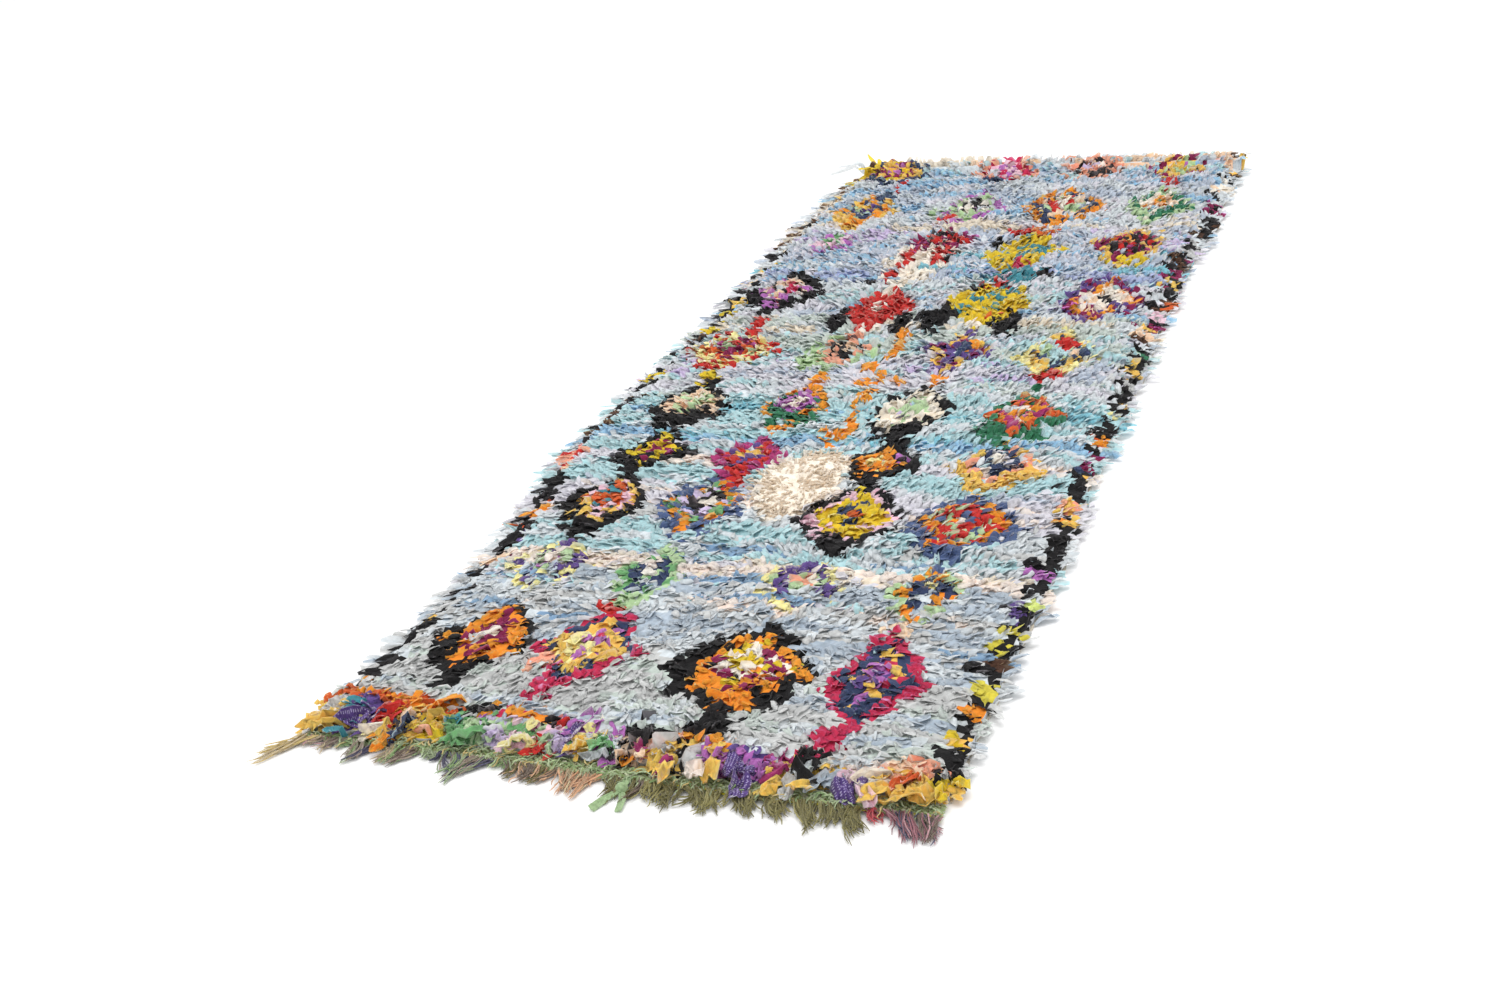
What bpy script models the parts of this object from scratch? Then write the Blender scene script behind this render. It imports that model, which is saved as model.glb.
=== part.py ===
"""A boucherouite rug lying flat: strips of torn rag knotted in rows on a woven ground.

Metres, +Z up. The rug's length runs along Y with its fringed end at -Y, its width along X, and it
lies on Z = 0. The origin is the middle of its underside, halfway between the tips that reach
furthest.

The rag pile and its ground are one piece of cloth, modelled as one lumpy slab with a flat underside
and locks of rag drooping over both long sides. Past its ends lie the two woven headings, narrow
bands of plain weave. The front one carries the cut warp ends as a fringe, and a strip of green rag
is knotted on among them.
"""

import collections
import math
import random

import bmesh
import bpy
from mathutils import Vector, noise

# Overall size, tip to tip.
OVERALL_WIDTH = 1.160
OVERALL_LENGTH = 3.110

# The ends, counted inwards from the tips.
FRINGE_REACH = 0.088
FRONT_HEADING_DEPTH = 0.034
BACK_HEADING_DEPTH = 0.014
HEADING_THICKNESS = 0.008
GAP = 0.0003

# The pile: the height of its rim, and of its top from the deepest hollow to the highest lump.
RIM_HEIGHT = 0.013
PILE_LOW = 0.020
PILE_HIGH = 0.038
SHOULDER_WIDTH = 0.040
LUMP_PITCH = 0.105
KNOT_ROW_PITCH = 0.150
ROW_WANDER = 0.06
PILE_COLUMNS = 28
PILE_ROWS = 84

# Locks of rag over the long sides: how far they reach, how far their tips sweep along the side.
LOCK_REACH_LOW = 0.016
LOCK_REACH_HIGH = 0.036
LOCK_SWEEP = 0.014
LOCK_BELLY_HEIGHT = 0.008
LOCK_TIP_HEIGHT = 0.005

# The front heading and the warp ends beyond it. A tip has at least this much room beside the next.
FRONT_WAVE = 0.0035
STRANDS = 96
STRAND_ROOM = 0.0048
STRAND_TIP_HEIGHT = 0.0030
TIP_GATHER = 0.62
SHORTER_AT_CLUMP_EDGE = 0.30

# The back heading.
BACK_HEADING_COLUMNS = 24
BACK_RIPPLES = 7
BACK_RIPPLE_HEIGHT = 0.0008
BACK_EDGE_THICKNESS = 0.0055

# The knotted rag among the fringe, from the heading outwards.
TIE_X = 0.070
TIE_ROOM = 0.019
TIE_WIDTH = 0.012
TIE_THICKNESS = 0.007
TIE_GAP = 0.001
NECK_LENGTH = 0.016
KNOT_WIDTH = 0.019
KNOT_HEIGHT = 0.013
KNOT_ROUNDING = 0.55

Y_FRONT_TIPS = -OVERALL_LENGTH / 2
Y_BACK = OVERALL_LENGTH / 2
Y_HEADING_FRONT = Y_FRONT_TIPS + FRINGE_REACH
Y_PILE_FRONT = Y_HEADING_FRONT + FRONT_HEADING_DEPTH
Y_PILE_BACK = Y_BACK - BACK_HEADING_DEPTH

# How far the woven sides lie from the middle line, from the front of the pile (0) to its back (1).
Station = collections.namedtuple("Station", "along left right")
SIDES = (
    Station(along=0.00, left=0.505, right=0.540),
    Station(along=0.10, left=0.490, right=0.536),
    Station(along=0.20, left=0.485, right=0.548),
    Station(along=0.27, left=0.505, right=0.545),
    Station(along=0.34, left=0.541, right=0.530),
    Station(along=0.44, left=0.546, right=0.536),
    Station(along=0.51, left=0.540, right=0.535),
    Station(along=0.60, left=0.520, right=0.524),
    Station(along=0.70, left=0.531, right=0.521),
    Station(along=0.80, left=0.550, right=0.540),
    Station(along=0.87, left=0.550, right=0.535),
    Station(along=0.94, left=0.536, right=0.540),
    Station(along=1.00, left=0.515, right=0.540),
)

# The clumps that the warp ends have gathered into, from left to right: where each begins as a share
# of the width, its length as a share of the fringe's reach, and how far its tips lean to the right.
Clump = collections.namedtuple("Clump", "start length lean")
CLUMPS = (
    Clump(start=0.000, length=0.98, lean=-0.050),
    Clump(start=0.045, length=0.42, lean=-0.012),
    Clump(start=0.095, length=0.66, lean=-0.014),
    Clump(start=0.160, length=0.60, lean=-0.016),
    Clump(start=0.215, length=0.35, lean=-0.010),
    Clump(start=0.270, length=0.72, lean=-0.016),
    Clump(start=0.340, length=0.55, lean=-0.004),
    Clump(start=0.395, length=0.62, lean=-0.010),
    Clump(start=0.440, length=0.80, lean=-0.014),
    Clump(start=0.505, length=0.62, lean=-0.008),
    Clump(start=0.570, length=0.78, lean=-0.010),
    Clump(start=0.640, length=0.66, lean=-0.008),
    Clump(start=0.700, length=0.86, lean=-0.006),
    Clump(start=0.765, length=0.70, lean=-0.004),
    Clump(start=0.815, length=0.90, lean=0.002),
    Clump(start=0.880, length=0.72, lean=0.008),
    Clump(start=0.930, length=1.00, lean=0.012),
)

# A warp end from its root outwards: its width as a share of the room at its root, and its thickness
# as a share of the heading's, at each share of its length.
Taper = collections.namedtuple("Taper", "along width thickness")
STRAND_TAPER = (
    Taper(along=0.35, width=0.62, thickness=0.80),
    Taper(along=0.72, width=0.47, thickness=0.62),
    Taper(along=1.00, width=0.34, thickness=0.00),
)

# The green rag's two loose tails: how far each leaves the knot sideways at its middle and at its
# tip, and how far short of the longest fringe it stops.
Tail = collections.namedtuple("Tail", "middle tip short")
TAILS = (
    Tail(middle=-0.014, tip=-0.026, short=0.012),
    Tail(middle=0.013, tip=0.015, short=0.016),
)


def clear_scene():
    for thing in list(bpy.data.objects):
        bpy.data.objects.remove(thing)


def smooth_step(share):
    share = min(1.0, max(0.0, share))
    return share * share * (3 - 2 * share)


def side_at(along):
    """Half widths of the woven ground to the left and right, at a share of the pile's length."""
    for near, far in zip(SIDES, SIDES[1:]):
        if along <= far.along:
            share = smooth_step((along - near.along) / (far.along - near.along))
            left = near.left + (far.left - near.left) * share
            right = near.right + (far.right - near.right) * share
            return left, right
    return SIDES[-1].left, SIDES[-1].right


def front_wave(across):
    """How far the front edge strays from a straight line, at a share of the width."""
    return FRONT_WAVE * math.sin(math.tau * (0.9 * across + 0.15))


def pile_height(x, y, to_rim):
    """The pile's top: rounded at the rim, then lumps on lumps, with soft ridges along the rows."""
    lump = noise.noise(Vector((x / LUMP_PITCH, y / LUMP_PITCH, 3.7)))
    clot = noise.noise(Vector((2 * x / LUMP_PITCH, 2 * y / LUMP_PITCH, 9.1)))
    wander = ROW_WANDER * noise.noise(Vector((x * 2, y * 2, 0.5)))
    ridge = math.cos(math.tau * (y / KNOT_ROW_PITCH + wander))
    share = 0.5 + 0.85 * lump + 0.60 * clot + 0.12 * ridge
    height = PILE_LOW + (PILE_HIGH - PILE_LOW) * min(1.0, max(0.0, share))
    return RIM_HEIGHT + (height - RIM_HEIGHT) * smooth_step(to_rim / SHOULDER_WIDTH)


def slab(columns, rows, place):
    """A closed slab standing on Z = 0. place gives a point of its top from its two shares.

    Returns the bmesh and its wall faces in order along each side: front, back, left and right.
    """
    shape = bmesh.new()
    bmesh.ops.create_grid(shape, x_segments=columns, y_segments=rows, size=0.5)
    for vert in shape.verts:
        vert.co = place(vert.co.x + 0.5, vert.co.y + 0.5)
    middle = sum((vert.co for vert in shape.verts), Vector()) / len(shape.verts)
    rim = [edge for edge in shape.edges if edge.is_boundary]
    made = bmesh.ops.extrude_edge_only(shape, edges=rim)["geom"]
    for vert in made:
        if isinstance(vert, bmesh.types.BMVert):
            vert.co.z = 0.0
    foot = [edge for edge in made if isinstance(edge, bmesh.types.BMEdge) and edge.is_boundary]
    bmesh.ops.contextual_create(shape, geom=foot)
    bmesh.ops.recalc_face_normals(shape, faces=shape.faces)
    walls = {"front": [], "back": [], "left": [], "right": []}
    for face in made:
        if not isinstance(face, bmesh.types.BMFace):
            continue
        centre = face.calc_center_median() - middle
        if abs(face.normal.x) > abs(face.normal.y):
            walls["right" if centre.x > 0 else "left"].append(face)
        else:
            walls["back" if centre.y > 0 else "front"].append(face)
    for side, faces in walls.items():
        axis = 1 if side in ("left", "right") else 0
        faces.sort(key=lambda face: face.calc_center_median()[axis])
    return shape, walls


def grow(shape, face, axis, stations):
    """Draws a face out through stations: each a centre, a width along the axis and a height."""
    for centre, width, height in stations:
        face = bmesh.ops.extrude_discrete_faces(shape, faces=[face])["faces"][0]
        middle = face.calc_center_median()
        for vert in face.verts:
            spot = Vector(centre)
            spot[axis] += math.copysign(width / 2, vert.co[axis] - middle[axis])
            spot.z += math.copysign(height / 2, vert.co.z - middle.z)
            vert.co = spot


def cloth_material(name, colour):
    material = bpy.data.materials.new(name)
    material.use_nodes = True
    shader = material.node_tree.nodes["Principled BSDF"]
    shader.inputs["Base Color"].default_value = (*colour, 1.0)
    shader.inputs["Roughness"].default_value = 0.9
    shader.inputs["Metallic"].default_value = 0.0
    return material


def finish(shape, name, colour):
    """Turns the shape into a named object of its own cloth."""
    bmesh.ops.recalc_face_normals(shape, faces=shape.faces)
    mesh = bpy.data.meshes.new(name)
    shape.to_mesh(mesh)
    shape.free()
    mesh.materials.append(cloth_material(name, colour))
    bpy.context.scene.collection.objects.link(bpy.data.objects.new(name, mesh))


def lock_tips(faces, side, chance):
    """Where the locks of one long side end. The one that reaches furthest is on the overall width."""
    tips = []
    for face in faces:
        root = face.calc_center_median()
        reach = chance.uniform(LOCK_REACH_LOW, LOCK_REACH_HIGH)
        sweep = chance.uniform(-LOCK_SWEEP, LOCK_SWEEP)
        outward = min(abs(root.x) + reach, OVERALL_WIDTH / 2)
        tips.append(Vector((outward, root.y + sweep, LOCK_TIP_HEIGHT / 2)))
    max(tips, key=lambda tip: tip.x).x = OVERALL_WIDTH / 2
    for tip in tips:
        tip.x *= side
    return tips


def rag_pile():
    """Ground and pile as one slab. Each lock leaves the rim, droops, and ends on the floor."""
    length = Y_PILE_BACK - Y_PILE_FRONT

    def place(across, along):
        left, right = side_at(along)
        x = -left + (left + right) * across
        y = Y_PILE_FRONT + GAP + (length - 2 * GAP) * along
        y += front_wave(across) * (1 - along) ** 6
        to_side = min(x + left, right - x)
        to_end = min(along, 1 - along) * length
        return Vector((x, y, pile_height(x, y, min(to_side, to_end))))

    shape, walls = slab(PILE_COLUMNS, PILE_ROWS, place)
    pitch = length / PILE_ROWS
    chance = random.Random(11)
    for side, name in ((-1, "left"), (1, "right")):
        faces = walls[name]
        for face, tip in zip(faces, lock_tips(faces, side, chance)):
            belly = face.calc_center_median().lerp(tip, 0.55)
            belly.z = RIM_HEIGHT * chance.uniform(0.45, 0.65)
            grow(shape, face, 1, (
                (belly, pitch * chance.uniform(0.55, 0.72), LOCK_BELLY_HEIGHT),
                (tip, pitch * chance.uniform(0.16, 0.34), LOCK_TIP_HEIGHT),
            ))
    finish(shape, "rag_pile", (0.52, 0.62, 0.68))


def strand_tips(roots):
    """Where each warp end's tip lies, from the places of the roots: its x, and its reach."""
    chance = random.Random(23)
    first = roots[0]
    width = roots[-1] - first
    ends = [clump.start for clump in CLUMPS[1:]] + [1.0]
    tips = []
    for root in roots:
        share = (root - first) / width
        clump, end = [pair for pair in zip(CLUMPS, ends) if share >= pair[0].start][-1]
        heart = first + (clump.start + end) / 2 * width
        half = (end - clump.start) / 2 * width
        tip_x = heart + (root - heart) * TIP_GATHER + clump.lean
        shape = 1 - SHORTER_AT_CLUMP_EDGE * abs(root - heart) / half
        tips.append([tip_x, FRINGE_REACH * clump.length * shape * chance.uniform(0.86, 1.0)])
    for left, right in zip(tips, tips[1:]):
        right[0] = max(right[0], left[0] + STRAND_ROOM)
    max(tips, key=lambda tip: tip[1])[1] = FRINGE_REACH
    return tips


def front_heading():
    """The woven end, and the warp ends cut off beyond it, which lie level on the floor."""
    left, right = side_at(0)

    def place(across, along):
        x = -left + (left + right) * across
        depth = FRONT_HEADING_DEPTH * along
        return Vector((x, Y_HEADING_FRONT + depth + front_wave(across), HEADING_THICKNESS))

    shape, walls = slab(STRANDS, 2, place)
    starts = [face.calc_center_median() for face in walls["front"]]
    pitch = (left + right) / STRANDS
    tips = strand_tips([start.x for start in starts])
    for face, start, (tip_x, reach) in zip(walls["front"], starts, tips):
        if abs(start.x - TIE_X) < TIE_ROOM:
            continue
        stations = []
        for taper in STRAND_TAPER:
            tall = max(HEADING_THICKNESS * taper.thickness, STRAND_TIP_HEIGHT)
            x = start.x + (tip_x - start.x) * taper.along
            y = start.y + (Y_HEADING_FRONT - reach - start.y) * taper.along
            stations.append((Vector((x, y, tall / 2)), pitch * taper.width, tall))
        grow(shape, face, 0, stations)
    finish(shape, "front_heading", (0.33, 0.36, 0.20))


def back_heading():
    """The woven end at the back: a narrow rippled band, thinner at its outer edge."""
    left, right = side_at(1)

    def place(across, along):
        x = -left + (left + right) * across
        y = Y_PILE_BACK + GAP + (BACK_HEADING_DEPTH - GAP) * along
        ripple = BACK_RIPPLE_HEIGHT * math.sin(math.tau * BACK_RIPPLES * across)
        thickness = HEADING_THICKNESS + ripple if along < 1 else BACK_EDGE_THICKNESS
        return Vector((x, y, thickness))

    shape, walls = slab(BACK_HEADING_COLUMNS, 2, place)
    finish(shape, "back_heading", (0.72, 0.56, 0.42))


def green_tie():
    """A strip of green rag knotted on at the heading: a flat neck, the knot, and two loose tails."""
    left, right = side_at(0)
    heading_y = Y_HEADING_FRONT + front_wave((TIE_X + left) / (left + right))
    neck_y = heading_y - TIE_GAP
    knot_y = neck_y - NECK_LENGTH - KNOT_WIDTH / 2
    shape = bmesh.new()
    bmesh.ops.create_cube(shape, size=1.0)
    bmesh.ops.subdivide_edges(shape, edges=shape.edges, cuts=1, use_grid_fill=True)
    for vert in shape.verts:
        ball = vert.co.normalized() / 2
        if vert.co.z > -0.4:
            vert.co = vert.co.lerp(ball, KNOT_ROUNDING)
        vert.co.x = TIE_X + vert.co.x * KNOT_WIDTH
        vert.co.y = knot_y + vert.co.y * KNOT_WIDTH
        vert.co.z = (vert.co.z + 0.5) * KNOT_HEIGHT
    shape.normal_update()
    low = [face for face in shape.faces if face.calc_center_median().z < KNOT_HEIGHT / 2]
    low.sort(key=lambda face: face.calc_center_median().x)
    front = [face for face in low if face.normal.y < -0.5]
    back = [face for face in low if face.normal.y > 0.5]
    for face, tail in zip(front, TAILS):
        tip_y = Y_FRONT_TIPS + tail.short
        middle_y = (knot_y - KNOT_WIDTH / 2 + tip_y) / 2
        grow(shape, face, 0, (
            (Vector((TIE_X + tail.middle, middle_y, TIE_THICKNESS / 2)), TIE_WIDTH * 0.7, TIE_THICKNESS),
            (Vector((TIE_X + tail.tip, tip_y, TIE_THICKNESS / 4)), TIE_WIDTH, TIE_THICKNESS / 2),
        ))
    neck = Vector((TIE_X, neck_y, TIE_THICKNESS / 2))
    grow(shape, back[0], 0, ((neck, TIE_WIDTH, TIE_THICKNESS),))
    finish(shape, "green_tie", (0.36, 0.52, 0.30))


clear_scene()
rag_pile()
front_heading()
back_heading()
green_tie()
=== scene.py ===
"""A boucherouite rug of knotted rag strips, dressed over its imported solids: the woven ground, the rag
pile with its rows of lozenges, the cream tuft, the front band of large rags, both headings, the
fringe of cut warp and the knotted green tie. Metres, in the frame's own axes."""

import collections
import math

import bpy
import numpy as np
from mathutils import Matrix, Vector, noise
from mathutils.bvhtree import BVHTree


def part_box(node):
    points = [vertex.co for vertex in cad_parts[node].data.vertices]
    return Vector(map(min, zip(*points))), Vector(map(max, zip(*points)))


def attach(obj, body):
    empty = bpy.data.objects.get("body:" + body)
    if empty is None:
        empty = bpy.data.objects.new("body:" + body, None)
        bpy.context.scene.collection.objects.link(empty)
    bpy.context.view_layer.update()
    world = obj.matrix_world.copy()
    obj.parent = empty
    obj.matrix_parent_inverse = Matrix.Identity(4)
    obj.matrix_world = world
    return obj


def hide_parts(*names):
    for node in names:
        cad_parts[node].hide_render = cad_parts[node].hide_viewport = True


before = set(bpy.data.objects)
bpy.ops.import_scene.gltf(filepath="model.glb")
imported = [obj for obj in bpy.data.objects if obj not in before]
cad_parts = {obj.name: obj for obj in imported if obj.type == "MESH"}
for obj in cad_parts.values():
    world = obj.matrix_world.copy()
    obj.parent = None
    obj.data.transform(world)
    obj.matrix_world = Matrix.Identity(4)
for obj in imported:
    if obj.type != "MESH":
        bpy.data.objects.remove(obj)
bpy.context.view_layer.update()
bpy.ops.object.select_all(action="DESELECT")

# The studio. A seamless floor of matt white paint under a wide softbox, in a white room, so that the
# pile is lit softly from every side and its hollows stay light.
FLOOR_SIZE = 30.0
FLOOR_DROP = 0.0012
WHITE_PAINT = "fbfbfb"
PAINT_ROUGHNESS = 0.7
ROOM_STRENGTH = 1.04
SOFTBOX_SIZE = 4.5
SOFTBOX_PLACE = (0.0, 0.2, 5.4)
SOFTBOX_POWER = 132.0


def linear(hex_colour):
    """An sRGB hex colour as linear red, green, blue and full alpha."""
    shares = [int(hex_colour[i:i + 2], 16) / 255 for i in (0, 2, 4)]
    return tuple([s / 12.92 if s <= 0.04045 else ((s + 0.055) / 1.055) ** 2.4 for s in shares] + [1.0])


def node(material, kind, settings=None, **links):
    """Adds a shader node. A link's value is an output socket, or a plain value for that input."""
    made = material.node_tree.nodes.new(kind)
    for name, value in (settings or {}).items():
        setattr(made, name, value)
    for name, value in links.items():
        found = [i for i in made.inputs if i.enabled and i.name.replace(" ", "_") == name]
        place = found[0] if found else made.inputs[int(name.strip("_"))]
        if isinstance(value, bpy.types.NodeSocket):
            material.node_tree.links.new(value, place)
        else:
            place.default_value = value
    return made


def new_material(name, roughness, **sockets):
    """A Principled material with uniform values on the shader's own sockets. Returns both."""
    material = bpy.data.materials.new(name)
    material.use_nodes = True
    shader = material.node_tree.nodes["Principled BSDF"]
    shader.inputs["Roughness"].default_value = roughness
    for socket, value in sockets.items():
        shader.inputs[socket.replace("_", " ")].default_value = value
    return material, shader


bpy.ops.mesh.primitive_plane_add(size=FLOOR_SIZE, location=(0, 0, -FLOOR_DROP))
floor = bpy.context.object
floor.name = "studio_floor"
paint, paint_shader = new_material("matt_white_paint", PAINT_ROUGHNESS, Base_Color=linear(WHITE_PAINT))
floor.data.materials.append(paint)

room = bpy.data.worlds.new("white_room")
room.use_nodes = True
room.node_tree.nodes["Background"].inputs["Color"].default_value = (1, 1, 1, 1)
room.node_tree.nodes["Background"].inputs["Strength"].default_value = ROOM_STRENGTH
bpy.context.scene.world = room
bpy.ops.object.light_add(type="AREA", location=SOFTBOX_PLACE)
softbox = bpy.context.object
softbox.data.size = SOFTBOX_SIZE
softbox.data.energy = SOFTBOX_POWER
softbox.rotation_euler = (-Vector(SOFTBOX_PLACE)).to_track_quat("-Z", "Y").to_euler()
bpy.context.scene.view_settings.view_transform = "Standard"

# The camera. It stands off the rug's right front corner at head height, looks down along the rug's
# length, and is rolled a little clockwise, as the photograph is.
CAMERA_PLACE = (1.218, -3.421, 1.476)
CAMERA_TURN = math.radians(24.59)
CAMERA_DIP = math.radians(25.11)
CAMERA_ROLL = math.radians(8.27)
CAMERA_LENS = 43.98
SENSOR_WIDTH = 36.0

ahead = Vector((
    -math.sin(CAMERA_TURN) * math.cos(CAMERA_DIP),
    math.cos(CAMERA_TURN) * math.cos(CAMERA_DIP),
    -math.sin(CAMERA_DIP),
))
level = Vector((math.cos(CAMERA_TURN), math.sin(CAMERA_TURN), 0))
right = Matrix.Rotation(CAMERA_ROLL, 3, ahead) @ level
camera_axes = Matrix((right, right.cross(ahead), -ahead)).transposed()
bpy.ops.object.camera_add(location=CAMERA_PLACE, rotation=camera_axes.to_euler())
camera = bpy.context.object
camera.data.lens = CAMERA_LENS
camera.data.sensor_width = SENSOR_WIDTH
bpy.context.scene.camera = camera

# The ground. A plain weave of cotton warp and wool weft, about 2 mm thick, which carries every knot
# and is seen only from beneath. Its edges follow the solid's, where the rim rises above the locks.
GROUND_THICKNESS = 0.0022
GROUND_COLUMNS = 20
GROUND_ROWS = 70
WOVEN_RIM = 0.0125
EDGE_BETWEEN = (0.40, 0.60)
EDGE_HALVINGS = 12
EDGE_SAMPLES = 120
FIRST_ROW_IN = 0.012
LAST_ROW_IN = 0.006

pile_low, pile_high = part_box("rag_pile")
pile_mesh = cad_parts["rag_pile"].data
pile_solid = BVHTree.FromPolygons(
    [vert.co for vert in pile_mesh.vertices], [face.vertices for face in pile_mesh.polygons]
)


def pile_top(x, y):
    """The height of the solid pile above a point, or 0 past its edge."""
    hit = pile_solid.ray_cast(Vector((x, y, 1)), Vector((0, 0, -1)))[0]
    return hit.z if hit else 0.0


def woven_edge(y, side):
    """How far out the woven ground reaches at y, to the right (side 1) or the left (side -1)."""
    near, far = EDGE_BETWEEN
    for _ in range(EDGE_HALVINGS):
        middle = (near + far) / 2
        if pile_top(side * middle, y) > WOVEN_RIM:
            near = middle
        else:
            far = middle
    return near


EDGE_Y = np.linspace(pile_low.y + FIRST_ROW_IN, pile_high.y - LAST_ROW_IN, EDGE_SAMPLES)
EDGE_LEFT = np.array([woven_edge(y, -1) for y in EDGE_Y])
EDGE_RIGHT = np.array([woven_edge(y, 1) for y in EDGE_Y])


def across_to_x(across, y):
    """From a share of the woven width, 0 at the left edge, to x."""
    left = np.interp(y, EDGE_Y, EDGE_LEFT)
    return -left + (left + np.interp(y, EDGE_Y, EDGE_RIGHT)) * across


def dress(piece, material, nodes):
    """Gives a finished piece its material and says what it rides on and stands for."""
    piece.data.materials.clear()
    piece.data.materials.append(material)
    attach(piece, "root")
    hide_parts(*nodes)


bpy.ops.mesh.primitive_grid_add(x_subdivisions=GROUND_COLUMNS, y_subdivisions=GROUND_ROWS, size=1)
ground = bpy.context.object
ground.name = "ground_cloth"
for vert in ground.data.vertices:
    y = pile_low.y + (pile_high.y - pile_low.y) * (vert.co.y + 0.5)
    vert.co = Vector((float(across_to_x(vert.co.x + 0.5, y)), y, GROUND_THICKNESS))
solidify = ground.modifiers.new("thickness", "SOLIDIFY")
solidify.thickness = GROUND_THICKNESS
bpy.ops.object.modifier_apply(modifier=solidify.name)

# Undyed cotton thread, spun and woven by hand: dull, cream, and ribbed where the weft turns.
COTTON_ROUGHNESS = 0.92
COTTON_DARK = "b3a995"
COTTON_PALE = "dcd4c4"
THREAD_PITCH = 0.0042
WEAVE_RELIEF = 0.0012
SLUBS_PER_METRE = 60.0
# A wave texture of scale 1 has this distance between its bands.
WAVE_PERIOD = math.tau / 20

woven, woven_shader = new_material("woven_cotton_ground", COTTON_ROUGHNESS)
place = node(woven, "ShaderNodeTexCoord").outputs["Object"]
ribs = node(woven, "ShaderNodeTexWave", {"bands_direction": "Y"}, Vector=place,
            Scale=WAVE_PERIOD / THREAD_PITCH, Distortion=1.2)
threads = node(woven, "ShaderNodeTexWave", {"bands_direction": "X"}, Vector=place,
               Scale=WAVE_PERIOD / THREAD_PITCH, Distortion=0.8)
both = node(woven, "ShaderNodeMath", {"operation": "MULTIPLY"}, _0=ribs.outputs[1], _1=threads.outputs[1])
slubs = node(woven, "ShaderNodeTexNoise", Vector=place, Scale=SLUBS_PER_METRE, Detail=3.0)
shade = node(woven, "ShaderNodeMix", {"data_type": "RGBA"}, Factor=slubs.outputs[0],
             A=linear(COTTON_DARK), B=linear(COTTON_PALE))
woven.node_tree.links.new(shade.outputs["Result"], woven_shader.inputs["Base Color"])
bump = node(woven, "ShaderNodeBump", Height=both.outputs[0], Strength=0.8, Distance=WEAVE_RELIEF)
woven.node_tree.links.new(bump.outputs[0], woven_shader.inputs["Normal"])
dress(ground, woven, ["rag_pile"])

# The colours of the rags, named as a weaver would sort them: worn jersey, shirting and knitwear.
RAGS = {
    "black": "1b1a1b", "soft_black": "282627", "orange": "e5872a", "rust": "c8552a", "burgundy": "7c2349",
    "cream": "efe3d2", "yellow": "dab72c", "pale_yellow": "ecdf94", "mustard": "e4b356", "lime": "cfe07e",
    "citron": "cbbd45", "crimson": "b82c4e", "red": "bb2c29", "navy": "333e5c", "slate": "4b5b80",
    "purple": "59457f", "orchid": "a865ab", "magenta": "9d3568", "pink": "e6b9c9", "salmon": "e89a80",
    "peach": "efc6a6", "teal": "3f828f", "green": "679b66", "dark_green": "2f6c4d",
    "light_green": "a8c495", "lilac": "c3b2d6", "light_grey": "bdbebd", "mint_grey": "bcc6bf",
    "ice": "cad1d5", "grey_blue": "a8b4c0", "denim": "7c99b6", "periwinkle": "b0bac9",
    "lilac_white": "cfcdd6", "aqua": "a8ccd1", "deep_aqua": "78b2c2", "sky": "8db4d2",
    "violet_blue": "a0abd0", "pink_beige": "ebd8cb", "oatmeal": "dfd1bc", "umber": "4b3327",
}
RAG_NAMES = list(RAGS)
RAG_COLOURS = np.array([linear(value) for value in RAGS.values()])


def rag(name):
    """A rag's number."""
    return RAG_NAMES.index(name)


def drift(x, y, size_x, size_y, seed):
    """Smooth noise from about -1 to 1 that changes over size_x and size_y."""
    return np.array([
        2 * noise.noise(Vector((a / size_x, b / size_y, seed)))
        for a, b in zip(np.atleast_1d(x), np.atleast_1d(y))
    ])


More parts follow.
